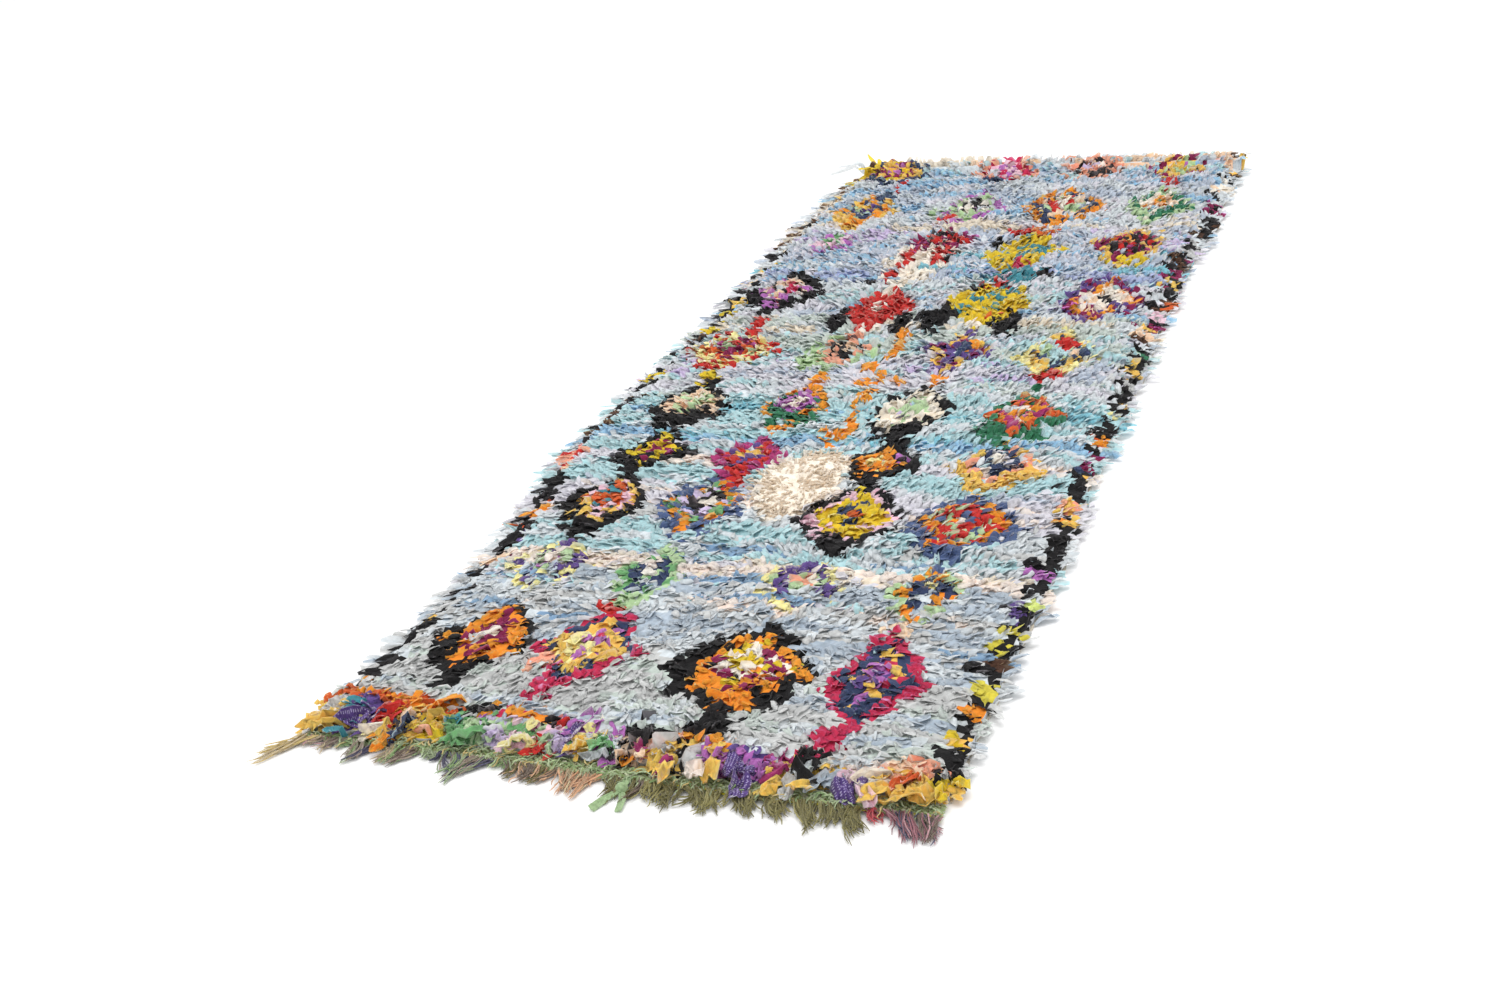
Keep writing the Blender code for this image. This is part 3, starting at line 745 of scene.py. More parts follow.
def directions(middle):
    """The unit tangents of paths of points."""
    tangent = np.gradient(middle, axis=1)
    return tangent / np.linalg.norm(tangent, axis=2, keepdims=True)


def torn_strips(roots, aim, reach, rise, width, chance, section, rings, droop, bent_by, roll=0.30,
                folds=0.22, point=(0.35, 1.15)):
    """The points of many torn strips, by strip, ring and place round the section.

    Each leaves its root nearly upright, leans over towards aim, and ends reach away, having been as
    high as rise. Its edges wander, it is folded lengthwise, and its end is cut at a slant. It has its
    final lean, from the range droop in degrees, by the share bent_by of its length.
    """
    count = len(roots)
    across = np.array(section.across, float)
    along = np.linspace(0, 1, rings) ** RING_SPACING
    first = np.radians(chance.uniform(*ROOT_LEAN, count))[:, None]
    last = np.radians(chance.uniform(*droop, count))[:, None]
    lean = first + (last - first) * np.clip((along[:-1] + along[1:]) / 2 / bent_by, 0, 1)
    steps = np.diff(along)
    out = np.cumsum(np.sin(lean) * steps, 1)
    up = np.cumsum(np.cos(lean) * steps, 1)
    out = out * (reach / out[:, -1])[:, None]
    up = up * (rise / up.max(1))[:, None]
    heading = aim[:, None] + chance.normal(0, TURN_STRAY, count)[:, None] * along[1:]
    forward = np.diff(np.concatenate([np.zeros((count, 1)), out], 1), axis=1)
    middle = np.zeros((count, rings, 3))
    middle[:, 1:, 0] = np.cumsum(np.cos(heading) * forward, 1)
    middle[:, 1:, 1] = np.cumsum(np.sin(heading) * forward, 1)
    middle[:, 1:, 2] = up
    tangent = directions(middle)
    turn = np.concatenate([aim[:, None], heading], 1)
    side = np.stack([-np.sin(turn), np.cos(turn), np.zeros_like(turn)], 2)
    normal = np.cross(tangent, side)
    tilt = chance.normal(0, roll, count)[:, None] + chance.normal(0, TILT_STRAY, count)[:, None] * along
    tilt = tilt[:, :, None]
    side, normal = (
        side * np.cos(tilt) + normal * np.sin(tilt),
        normal * np.cos(tilt) - side * np.sin(tilt),
    )
    taper = np.interp(along, TAPER_AT, TAPER)[None, :]
    taper = taper * (1 + EDGE_STRAY * wander(chance, count, rings, 1)[:, :, 0])
    taper[:, -1] *= chance.uniform(*point, count)
    half = (width[:, None] * taper / 2)[:, :, None]
    fold = wander(chance, count, rings, max(section.column) + 1)[:, :, list(section.column)] * folds
    arch = chance.normal(ARCH, ARCH_STRAY, count)[:, None, None] * across ** 2
    height = (fold - arch) * half - np.array(section.under) * CLOTH_THICKNESS
    slant = chance.normal(0, END_SLANT, count)[:, None, None] * (along == 1)[None, :, None]
    points = (
        roots[:, None, None, :] + middle[:, :, None, :]
        + side[:, :, None, :] * (across * half)[..., None]
        + normal[:, :, None, :] * height[..., None]
        + tangent[:, :, None, :] * (slant * across * half)[..., None]
    )
    points[..., 0] = np.clip(points[..., 0], -MOST_OUT, MOST_OUT)
    points[..., 2] = np.clip(points[..., 2], LEAST_HEIGHT, MOST_HEIGHT)
    return points


# Each strip has a cell of the bake map, with a margin, its walls in the middle and its caps at the ends.
CELL_MARGIN = 0.05
CELL_FILLED = 0.9
WALLS_FROM = 0.08
WALLS_OVER = 0.84
CAP_ACROSS = (0.1, 0.3, 0.5, 0.7)
ROOT_CAP = (0, 0.03, 0.03, 0)
TIP_CAP = (0.97, 1, 1, 0.97)
CLOTH_SIZE = 4
SHARP_ANGLE = math.radians(60)


def bundle(name, points, colours, widths, lengths, marks, caps, chance):
    """One object from many closed strips or yarns, with their colours, marks and two maps.

    OFBake gives each strip a cell of its own, and cloth holds true metres across and along it.
    """
    count, rings, around = points.shape[:3]
    ring, place = np.meshgrid(np.arange(rings - 1), np.arange(around), indexing="ij")
    ring, place = ring.ravel(), place.ravel()
    beside = (place + 1) % around
    walls = np.stack([
        ring * around + place, (ring + 1) * around + place,
        (ring + 1) * around + beside, ring * around + beside,
    ], 1)
    root_ends = np.array(caps)
    tip_ends = root_ends[:, ::-1] + (rings - 1) * around
    quads = np.concatenate([walls, root_ends, tip_ends])
    faces = (np.arange(count)[:, None, None] * rings * around + quads).reshape(-1, 4)
    mesh = bpy.data.meshes.new(name)
    mesh.from_pydata(points.reshape(-1, 3), [], faces)
    turn = np.stack([place, place, place + 1, place + 1], 1) / around
    far = np.stack([ring, ring + 1, ring + 1, ring], 1) / (rings - 1)
    flat_u = np.concatenate([turn, np.tile(CAP_ACROSS, (2 * len(caps), 1))])
    flat_v = np.concatenate([WALLS_FROM + WALLS_OVER * far, [ROOT_CAP] * len(caps), [TIP_CAP] * len(caps)])
    cells = math.ceil(math.sqrt(count))
    column, row = np.arange(count) % cells, np.arange(count) // cells
    bake = np.stack([
        (column[:, None, None] + CELL_MARGIN + CELL_FILLED * flat_u) / cells,
        (row[:, None, None] + CELL_MARGIN + CELL_FILLED * flat_v) / cells,
    ], -1)
    mesh.uv_layers.new(name="OFBake").uv.foreach_set("vector", bake.ravel())
    shift = chance.uniform(0, CLOTH_SIZE, (count, 2, 1, 1))
    caps_turn = np.concatenate([turn, np.full((2 * len(caps), 4), 0.5)])
    across = (0.5 - np.abs(caps_turn - 0.5)) * 2 * widths[:, None, None] + shift[:, 0]
    forth = (quads // around) / (rings - 1) * lengths[:, None, None] + shift[:, 1]
    mesh.uv_layers.new(name="cloth").uv.foreach_set("vector", np.stack([across, forth], -1).ravel())
    tints = np.broadcast_to(colours.reshape(count, -1, 1, 4), (count, rings, around, 4))
    tint = mesh.color_attributes.new("rag_colour", "FLOAT_COLOR", "POINT")
    tint.data.foreach_set("color", tints.ravel())
    mark = mesh.attributes.new("printed", "FLOAT", "POINT")
    mark.data.foreach_set("value", np.repeat(marks, rings * around).astype(np.float32))
    mesh.shade_smooth()
    mesh.set_sharp_from_angle(angle=SHARP_ANGLE)
    piece = bpy.data.objects.new(name, mesh)
    bpy.context.scene.collection.objects.link(piece)
    return piece


# Worn cotton jersey and shirting: dull, softly sheened, creased along the strip, faded unevenly, with painted
# shade darkening the hollows of its creases.
CREASE_WIDTH = 0.0040
CREASE_LENGTH = 0.0170
CREASE_DEPTH = 0.0014
FADES_PER_METRE = 90.0
PRINT_PITCH = 0.0048
PRINT_DOT = 0.24
PRINT_COLOUR = "a99cc8"


def rag_material(name, crease_width, crease_length, depth):
    """Worn cotton rag: light goes a little way into it, and some strips are printed with dots."""
    made, shader = new_material(
        name, 0.9, Sheen_Weight=0.06, Sheen_Roughness=0.45, Specular_IOR_Level=0.15,
        Subsurface_Weight=0.8, Subsurface_Radius=(1, 1, 1), Subsurface_Scale=0.004
    )
    colour = node(made, "ShaderNodeAttribute", {"attribute_name": "rag_colour"}).outputs["Color"]
    cloth = node(made, "ShaderNodeUVMap", {"uv_map": "cloth"}).outputs[0]
    stretched = node(made, "ShaderNodeMapping", Vector=cloth,
                     Scale=(1 / crease_width, 1 / crease_length, 1)).outputs[0]
    creases = node(made, "ShaderNodeTexNoise", {"noise_dimensions": "2D"}, Vector=stretched, Scale=1.0,
                   Detail=3.0, Roughness=0.55, Distortion=0.4).outputs[0]
    place = node(made, "ShaderNodeTexCoord").outputs["Object"]
    fade = node(made, "ShaderNodeTexNoise", Vector=place, Scale=FADES_PER_METRE, Detail=2.0).outputs[0]
    worn = node(made, "ShaderNodeMapRange", Value=fade, From_Min=0.3, From_Max=0.7,
                To_Min=0.90, To_Max=1.08).outputs[0]
    # Painted shade: the colour is darkened where the crease texture is low, in the hollows of the creases.
    crease_shade = node(made, "ShaderNodeMapRange", Value=creases, From_Min=0.3, From_Max=0.6,
                 To_Min=0.93, To_Max=1.03).outputs[0]
    value = node(made, "ShaderNodeMath", {"operation": "MULTIPLY"}, _0=worn, _1=crease_shade).outputs[0]
    faded_and_crease_shaded = node(made, "ShaderNodeHueSaturation", Value=value, Color=colour).outputs[0]
    dots = node(made, "ShaderNodeTexVoronoi", {"voronoi_dimensions": "2D"}, Vector=cloth,
                Scale=1 / PRINT_PITCH, Randomness=0.25).outputs["Distance"]
    dotted = node(made, "ShaderNodeMath", {"operation": "LESS_THAN"}, _0=dots, _1=PRINT_DOT).outputs[0]
    printed = node(made, "ShaderNodeAttribute", {"attribute_name": "printed"}).outputs["Fac"]
    where = node(made, "ShaderNodeMath", {"operation": "MULTIPLY"}, _0=dotted, _1=printed).outputs[0]
    mixed = node(made, "ShaderNodeMix", {"data_type": "RGBA"}, Factor=where, A=faded_and_crease_shaded,
                 B=linear(PRINT_COLOUR)).outputs["Result"]
    made.node_tree.links.new(mixed, shader.inputs["Base Color"])
    bump = node(made, "ShaderNodeBump", Height=creases, Strength=0.9, Distance=depth).outputs[0]
    made.node_tree.links.new(bump, shader.inputs["Normal"])
    return made


jersey = rag_material("torn_cotton_jersey", CREASE_WIDTH, CREASE_LENGTH, CREASE_DEPTH)


# The nap. The pile leans out over every edge and is swirled in between by years of feet. It is trodden
# down at the front, stands more upright towards the far end, and falls back over its last rows.
LEAN_OVER = 0.45
LEAN_OUT = 1.1
LEAN_BACK = 0.6
LEAN_FRONT = 0.9
FRONT_FROM = -0.95
FRONT_OVER = 0.3
LEAN_FAR = 1.4
FAR_FROM = 1.49
FAR_OVER = 0.03
SWIRL = 0.7
SWIRL_X = 0.15
SWIRL_Y = 0.11
KNOT_TURN = 1.3
STRIP_TURN = 0.25
TONE_BY_ROW = 0.05
TONE_X = 0.12
TONE_Y = 0.012
TONE_BY_STRIP = 0.045


def upright(y):
    """How upright the pile stands: 0 at the front, where it is trodden down, to 1 at the far end."""
    return np.clip((y - UPRIGHT_FROM) / UPRIGHT_OVER, 0, 1)


def nap_direction(x, y, chance):
    """Which way the pile leans at each point."""
    outward = np.clip(x / LEAN_OVER, -1, 1)
    to_front = np.clip((FRONT_FROM - y) / FRONT_OVER, 0, 1)
    to_far_end = np.clip((y - FAR_FROM) / FAR_OVER, 0, 1)
    lean_x = outward * LEAN_OUT
    lean_y = LEAN_BACK * outward - LEAN_FRONT * to_front + LEAN_FAR * to_far_end
    lean_x = lean_x + SWIRL * drift(x, y, SWIRL_X, SWIRL_Y, seed=11.0)
    lean_y = lean_y + SWIRL * drift(x, y, SWIRL_X, SWIRL_Y, seed=21.0)
    together = KNOT_TURN * (knot_share(x, y, seed=5.0) - 0.5)
    alone = chance.normal(0, 1, len(x)) * (STRIP_TURN + UPRIGHT_SPLAY * upright(y))
    return np.arctan2(lean_y, lean_x) + together + alone


def toned(rags, x, y, chance):
    """Each strip's colour, a little lighter or darker along each knot row."""
    tone = 1 + TONE_BY_ROW * drift(x, y, TONE_X, TONE_Y, seed=31.0)
    tone = tone + chance.normal(0, TONE_BY_STRIP, len(rags))
    tints = RAG_COLOURS[rags] * tone[:, None]
    tints[:, 3] = 1
    return np.clip(tints, 0, 1)


# The lower rags, packed so tight that only their tops show between the strips that stand over them:
# one crumpled closed mesh, whose squares each take the colour of the rag that lies there.
PACKED_PITCH = 0.0100
PACKED_WIDTH = 1.09
PACKED_STRAY = 0.0016
PACKED_SHARE = 0.84
PACKED_FALL = 0.03
PACKED_CRUMPLE = 0.0022
PACKED_INSET = 0.006
PACKED_BACK = 0.036
PACKED_SIDES = "b9bcc0"
# The rug's place on its bake map, and the slant at which its creases run.
BAKE_CORNER = (-0.6, -1.6)
BAKE_SIZE = (1.2, 3.2)
CREASE_SLANT = ((0.8, 0.6), (-0.6, 0.8))

chance = np.random.default_rng(7)
columns = int(PACKED_WIDTH / PACKED_PITCH)
rows = int((pile_high.y - pile_low.y) / PACKED_PITCH)
share_x, share_y = np.linspace(0, 1, columns + 1), np.linspace(0, 1, rows + 1)
line_y = pile_low.y + PACKED_INSET / 2 + (pile_high.y - pile_low.y - PACKED_INSET) * share_y
grid_y = np.repeat(line_y[:, None], columns + 1, 1)
grid_x = np.array([across_to_x(share_x, y) * (1 - PACKED_INSET) for y in line_y])
grid_x = grid_x + chance.normal(0, PACKED_STRAY, grid_x.shape)
grid_y = grid_y + chance.normal(0, PACKED_STRAY, grid_y.shape)
tall = np.array([max(pile_top(x, y), LEAST_RISE) for x, y in zip(grid_x.ravel(), grid_y.ravel())])
tall = tall * (PACKED_SHARE - PACKED_FALL * upright(grid_y.ravel()))
tall = tall + PACKED_CRUMPLE * chance.uniform(-1, 1, len(tall))
tall = np.where(grid_y.ravel() > pile_high.y - BACK_ROOM, np.maximum(tall, PACKED_BACK), tall)
top = np.stack([grid_x.ravel(), grid_y.ravel(), tall], 1)
number = np.arange(len(top)).reshape(rows + 1, columns + 1)
rim = np.concatenate([number[0, :-1], number[:-1, -1], number[-1, :0:-1], number[:0:-1, 0]])
foot = top[rim] * (1, 1, 0) + (0, 0, GROUND_THICKNESS)
lower = len(top) + np.arange(len(rim))
squares = np.stack([number[:-1, :-1], number[:-1, 1:], number[1:, 1:], number[1:, :-1]], -1).reshape(-1, 4)
skirt = np.stack([rim, lower, np.roll(lower, -1), np.roll(rim, -1)], 1)
mesh = bpy.data.meshes.new("packed_rags")
mesh.from_pydata(np.concatenate([top, foot]), [], squares.tolist() + skirt.tolist() + [lower[::-1].tolist()])
middles = top[squares].mean(1)
tints = toned(rag_at(middles[:, 0], middles[:, 1], chance), middles[:, 0], middles[:, 1], chance)
sides = np.tile(linear(PACKED_SIDES), (4 * len(skirt) + len(lower), 1))
corners = np.concatenate([np.repeat(tints, 4, 0), sides])
mesh.color_attributes.new("rag_colour", "FLOAT_COLOR", "CORNER").data.foreach_set("color", corners.ravel())
flat = np.array([mesh.vertices[loop.vertex_index].co.xy for loop in mesh.loops])
mesh.uv_layers.new(name="OFBake").uv.foreach_set("vector", ((flat - BAKE_CORNER) / BAKE_SIZE).ravel())
mesh.uv_layers.new(name="cloth").uv.foreach_set("vector", (flat @ np.array(CREASE_SLANT)).ravel())
mesh.shade_smooth()
packed = bpy.data.objects.new("packed_rags", mesh)
bpy.context.scene.collection.objects.link(packed)
dress(packed, jersey, ["rag_pile"])

# The strips, knotted row by row. Each takes the rag of the place where it shows, and those along the
# sides and the far end start on the ground, because nothing hides their feet.
KNOT_START = 0.3
KNOT_STAGGER = 0.4
STRIP_RINGS = 4
STRIP_STRETCH = (0.65, 1.2)
STRIP_RISE = (0.91, 1.03)
STRIP_WIDTHS = (0.75, 1.25)
STRIP_DROOP = (78, 102)
BENT_BY = 0.5
UPRIGHT_BENT = 0.4
TUFT_BARE = 0.95

root_x, root_y = [], []
for number, y in enumerate(np.arange(pile_low.y + FIRST_ROW_IN, pile_high.y - LAST_ROW_IN, ROW_PITCH)):
    width = float(np.interp(y, EDGE_Y, EDGE_LEFT) + np.interp(y, EDGE_Y, EDGE_RIGHT))
    knots = int(width / KNOT_PITCH)
    across = (np.arange(knots) + KNOT_START + KNOT_STAGGER * (number % 2)) / knots
    root_x.append(across_to_x(across, y) + chance.normal(0, KNOT_SPREAD, knots))
    root_y.append(y + chance.normal(0, KNOT_SPREAD, knots))
root_x, root_y = np.concatenate(root_x), np.concatenate(root_y)
aim = nap_direction(root_x, root_y, chance)
stretch = chance.uniform(*STRIP_STRETCH, len(root_x))
shown_x = root_x + SHOWN_AT * FIELD_REACH * stretch * np.cos(aim)
shown_y = root_y + SHOWN_AT * FIELD_REACH * stretch * np.sin(aim)
rags = rag_at(shown_x, shown_y, chance)
bright = ~np.isin(rags, [rag(name) for name in PALE_RAGS])
tops = np.array([max(pile_top(x, y), LEAST_RISE) for x, y in zip(shown_x, shown_y)])
tops = np.where(root_y > pile_high.y - BACK_ROOM, np.maximum(tops, BACK_STAND), tops)
at_side = from_edge(root_x, root_y) < SIDE_ROOM
tufted = in_tuft(shown_x, shown_y) < TUFT_BARE
for name, chosen, width, reach, section, parts in (
    ("pile_field", ~bright & ~tufted, FIELD_WIDTH, FIELD_REACH, FLAT, FIELD_PIECES),
    ("pile_lozenges", bright & ~tufted & (chance.random(len(rags)) < BRIGHT_SHARE), BRIGHT_WIDTH,
     BRIGHT_REACH, FOLDED, BRIGHT_PIECES),
):
    which = np.flatnonzero(chosen)
    for number, some in enumerate(np.array_split(which, parts)):
        outer = np.where(
            root_x[some] > 0, np.interp(root_y[some], RIGHT_Y, RIGHT_STRETCH),
            np.interp(root_y[some], LEFT_Y, LEFT_STRETCH)
        )
        reaches = reach * stretch[some] * np.where(at_side[some], outer, 1)
        stand = np.where(at_side[some], 0, upright(root_y[some]))
        rise = tops[some] * chance.uniform(*STRIP_RISE, len(some)) - GROUND_THICKNESS + UPRIGHT_RISE * stand
        at_back = root_y[some] > pile_high.y - BACK_ROOM / 2
        hidden = np.where(at_side[some] | at_back, 0, HIDDEN_SHARE + UPRIGHT_HIDDEN * stand)
        foot = hidden * rise
        widths = width * chance.uniform(*STRIP_WIDTHS, len(some)) * (1 + UPRIGHT_WIDE * stand)
        reaches = reaches * np.where(at_back, np.interp(root_x[some], BACK_X, BACK_STRETCH), 1)
        roots = np.stack([root_x[some], root_y[some], GROUND_THICKNESS + foot], 1)
        points = torn_strips(
            roots, aim[some], reaches * (1 - UPRIGHT_SHORT * stand), rise - foot, widths, chance,
            section, STRIP_RINGS, droop=[angle - UPRIGHT_TURN * stand for angle in STRIP_DROOP],
            bent_by=(BENT_BY + UPRIGHT_BENT * stand)[:, None]
        )
        piece = bundle(
            f"{name}_{number + 1}", points, toned(rags[some], shown_x[some], shown_y[some], chance),
            widths, reaches + rise, np.zeros(len(some)), section.caps, chance
        )
        dress(piece, jersey, ["rag_pile"])

# The front band's rags. They are up to 32 mm wide and 95 mm long, folded and crumpled, and lie over
# each other every way. Rows of smaller ones fill the band under those that show most.
BandRow = collections.namedtuple("BandRow", "runs behind pitch width reach")
BAND_ROWS = (
    BandRow(ORANGE_ROW, 0.076, 0.0110, 0.018, 0.026),
    BandRow(ORANGE_ROW, 0.064, 0.0110, 0.019, 0.028),
    BandRow(LARGE_RAGS, 0.048, 0.0110, 0.020, 0.028),
    BandRow(LARGE_RAGS, 0.034, 0.0110, 0.021, 0.028),
    BandRow(LARGE_RAGS, 0.018, 0.0110, 0.020, 0.026),
)
BAND_MARGIN = 0.004
BAND_STRAY_X = 0.003
BAND_STRAY_Y = 0.004
BAND_FOOT = 0.008
BAND_WIDTHS = (0.6, 1.25)
BAND_REACHES = (0.6, 1.15)
BAND_RINGS = 7
BAND_PATH = 0.02
PATCHES_PER_METRE = 44
PATCH_BLUR = 0.12
FORWARD_TURN = 245
LEAST_FORWARD = 0.3
LEAST_REACH = 0.010
FILLER_RISE = (0.010, 0.018)
OVER_HEADING = 0.0095
HANG_OVER = (-0.004, 0.010)
LIE_UNEVEN = 0.001
LAP_FOOT = 0.010
LAP_RISE = (0.014, 0.022)
LAP_SHORTER = 0.94
LAP_WIDER = 1.08
CRUMPLED_WIDER = 1.3
CRUMPLED_DEEPER = 2

# The rags that show: where each starts in cm, which way it points in degrees, its length and width
# in cm, and its rag. A starred rag is printed with dots.
Lap = collections.namedtuple("Lap", "x y turn length width rag")
LAPS = (
    Lap(-46, -144, 183, 7.5, 2.0, "mustard"), Lap(-44, -142.3, 186, 10, 2.3, "mustard"),
    Lap(-44.5, -138.8, 188, 6, 2.8, "light_grey"),
    Lap(-43.5, -142, 200, 5, 1.9, "teal"), Lap(-43, -145, 190, 4, 1.6, "teal"),
    Lap(-40.5, -140, 225, 6, 2.8, "purple*"), Lap(-38, -138.5, 200, 5, 2.2, "purple*"),
    Lap(-35, -136.5, 182, 6, 3.0, "rust"), Lap(-40, -136, 185, 6, 2.8, "rust"),
    Lap(-46.5, -135, 165, 4.5, 1.8, "rust"), Lap(-31, -136.5, 190, 5, 2.6, "rust"),
    Lap(-36.5, -138, 235, 5, 2.8, "red"), Lap(-34, -138.5, 262, 3, 2.0, "peach"),
    Lap(-27.5, -134, 215, 6, 3.0, "orange"), Lap(-29, -137.5, 220, 5, 2.6, "mustard"),
    Lap(-36, -142.5, 195, 6, 2.3, "oatmeal"), Lap(-34, -140.5, 280, 6, 3.0, "navy"),
    Lap(-37.5, -140, 288, 7, 2.4, "mustard"), Lap(-34.8, -144.5, 262, 4.4, 1.8, "orange"),
    Lap(-26.5, -143.8, 155, 7, 2.6, "yellow"), Lap(-27, -139.5, 265, 5, 2.0, "mustard"),
    Lap(-28.5, -143, 155, 4, 1.2, "salmon"), Lap(-25.5, -138.5, 250, 3, 1.9, "teal"),
    Lap(-20.5, -136.5, 230, 6, 2.0, "orchid"), Lap(-19, -135.5, 205, 5, 2.6, "black"),
    Lap(-21, -139.5, 202, 5.5, 2.3, "light_green"), Lap(-19, -141.5, 200, 7, 2.6, "green"),
    Lap(-24, -142.5, 310, 4, 2.0, "green"), Lap(-14.5, -133, 225, 6, 2.5, "orange"),
    Lap(-11.5, -134.5, 228, 5, 2.8, "orange"), Lap(-9.5, -134.5, 235, 3.6, 2.0, "black"),
    Lap(-12.5, -139, 198, 5.5, 2.3, "grey_blue"), Lap(-16.5, -141.5, 205, 3.6, 2.2, "lilac"),
    Lap(-11.5, -142, 205, 5.4, 2.3, "pale_yellow"), Lap(-11, -140, 195, 3.5, 1.5, "burgundy"),
    Lap(-8, -141, 215, 4, 2.0, "light_green"), Lap(-7.5, -136.5, 235, 4.6, 2.6, "red"),
    Lap(-3.5, -133.5, 240, 5.4, 2.5, "orchid"), Lap(-4.5, -137.5, 235, 6.4, 2.4, "purple*"),
    Lap(-2.5, -135.5, 245, 5.4, 2.0, "pale_yellow"), Lap(-2, -139.5, 242, 6, 2.5, "mustard"),
    Lap(0.5, -140.5, 245, 4, 2.0, "green"), Lap(-0.5, -136.5, 295, 5.4, 2.3, "orchid"),
    Lap(2, -143, 195, 4.4, 1.8, "ice"), Lap(1.5, -138.5, 305, 5.4, 2.7, "peach"),
    Lap(6.5, -135, 225, 4.6, 2.8, "black"), Lap(6.5, -138, 265, 6, 2.2, "soft_black"),
    Lap(13, -138, 190, 6, 2.3, "salmon"), Lap(18.5, -138, 195, 6, 2.0, "orange"),
    Lap(12, -140, 205, 4.4, 2.3, "light_grey"), Lap(13.5, -140, 275, 6, 2.3, "black"),
    Lap(10.5, -142, 230, 5, 2.8, "mustard"), Lap(12.5, -144.5, 275, 4, 2.4, "mustard"),
    Lap(12.5, -142.5, 240, 4.6, 2.0, "magenta"), Lap(17, -140.5, 250, 5, 2.3, "light_grey"),
    Lap(15, -145, 335, 5, 2.0, "pink_beige"), Lap(17.5, -137.5, 290, 6, 2.6, "orchid"),
    Lap(17.5, -142, 310, 6.4, 2.7, "mustard"), Lap(21, -138, 295, 9, 2.4, "purple*"),
    Lap(24, -144.5, 300, 5.4, 2.8, "purple*"), Lap(29.5, -141, 215, 5.6, 2.6, "orchid"),
    Lap(30.5, -142.5, 218, 4.6, 2.0, "magenta"), Lap(32, -137, 275, 6.4, 2.8, "black"),
    Lap(36, -138.5, 250, 5, 2.2, "black"), Lap(31.5, -142.5, 320, 5.6, 2.4, "black"),
    Lap(36.5, -140, 215, 5.6, 2.0, "mint_grey"), Lap(37, -143, 235, 5, 2.0, "grey_blue"),
    Lap(31, -145, 220, 5.2, 2.6, "mustard"), Lap(31.5, -144, 275, 4.6, 2.3, "light_grey"),
    Lap(35, -145.5, 225, 4, 2.2, "mustard"), Lap(44, -140, 195, 6.4, 2.4, "pink_beige"),
    Lap(46, -142, 192, 6.4, 2.4, "oatmeal"), Lap(38.5, -143.5, 290, 5.6, 2.6, "purple*"),
    Lap(42, -145.5, 305, 4, 2.0, "pink"), Lap(50, -138.5, 205, 6.2, 2.4, "salmon"),
    Lap(52.5, -138, 190, 5.4, 2.2, "salmon"), Lap(49.5, -141.5, 215, 5.4, 2.3, "rust"),
    Lap(46, -144.5, 225, 5, 2.4, "mustard"), Lap(49, -145, 210, 4.6, 2.4, "mustard"),
    Lap(51, -145.5, 225, 4.8, 2.4, "mustard"), Lap(53.5, -144.5, 205, 5, 2.3, "mustard"),
    Lap(52.5, -140.5, 235, 5.6, 2.8, "black"), Lap(53.5, -139.5, 225, 4, 2.0, "light_grey"),
)

places, picked, printed, widths, reaches = [], [], [], [], []
left_x, right_x = float(across_to_x(0, pile_low.y)), float(across_to_x(1, pile_low.y))
for row in BAND_ROWS:
    for x in np.arange(left_x + BAND_MARGIN, right_x, row.pitch):
        names = next(run for run in row.runs if x * 100 < run.to).rags.split()
        name = names[int((x + 1) * PATCHES_PER_METRE + chance.normal(0, PATCH_BLUR)) % len(names)]
        row_y = pile_low.y + row.behind * float(band_share(x)) + heading_wave(x)
        y = row_y + chance.normal(0, BAND_STRAY_Y)
        places.append((x + chance.normal(0, BAND_STRAY_X), y, BAND_FOOT))
        picked.append(rag(name.strip("*")))
        printed.append(float("*" in name))
        widths.append(row.width * chance.uniform(*BAND_WIDTHS))
        reaches.append(row.reach * chance.uniform(*BAND_REACHES))
places, picked, widths, reaches = np.array(places), np.array(picked), np.array(widths), np.array(reaches)
forward = math.radians(FORWARD_TURN) + chance.normal(0, 1.0, len(picked))
room = places[:, 1] - pile_low.y - heading_wave(places[:, 0]) + chance.uniform(*HANG_OVER, len(picked))
most = np.maximum(room / np.maximum(-np.sin(forward), LEAST_FORWARD), LEAST_REACH)
reaches = np.clip(reaches, LEAST_REACH, most)
fillers = torn_strips(
    places, forward, reaches, chance.uniform(*FILLER_RISE, len(picked)), widths, chance, PLEATED, BAND_RINGS,
    droop=(84, 112), roll=0.5, folds=0.34, point=(0.3, 1.0), bent_by=0.35
)
laid = np.array([(lap.x / 100, lap.y / 100, LAP_FOOT) for lap in LAPS])
lap_turn = np.radians([lap.turn for lap in LAPS])
lap_width = np.array([lap.width / 100 for lap in LAPS])
lap_length = np.array([lap.length / 100 for lap in LAPS])
laps = torn_strips(
    laid, lap_turn, lap_length * LAP_SHORTER, chance.uniform(*LAP_RISE, len(LAPS)), lap_width * LAP_WIDER,
    chance, PLEATED, BAND_RINGS, droop=(88, 106), roll=0.36, folds=0.52, point=(0.2, 1.0), bent_by=0.28
)
points = np.concatenate([fillers, laps])
picked = np.concatenate([picked, [rag(lap.rag.strip("*")) for lap in LAPS]])
printed = np.concatenate([printed, ["*" in lap.rag for lap in LAPS]]).astype(float)
front_edge = pile_low.y + heading_wave(points[..., 0])
low = np.where(points[..., 1] < front_edge, OVER_HEADING, LEAST_HEIGHT)
points[..., 2] = np.maximum(points[..., 2], low + LIE_UNEVEN * chance.random(points.shape[:3]))
places = np.concatenate([places, laid])
crumpled = rag_material(
    "crumpled_cotton_jersey", CREASE_WIDTH * CRUMPLED_WIDER, CREASE_LENGTH, CREASE_DEPTH * CRUMPLED_DEEPER
)
band = bundle("front_band_rags", points, toned(picked, places[:, 0], places[:, 1], chance),
              np.concatenate([widths, lap_width]), np.concatenate([reaches, lap_length]) + BAND_PATH, printed,
              PLEATED.caps, chance)
dress(band, crumpled, ["rag_pile"])

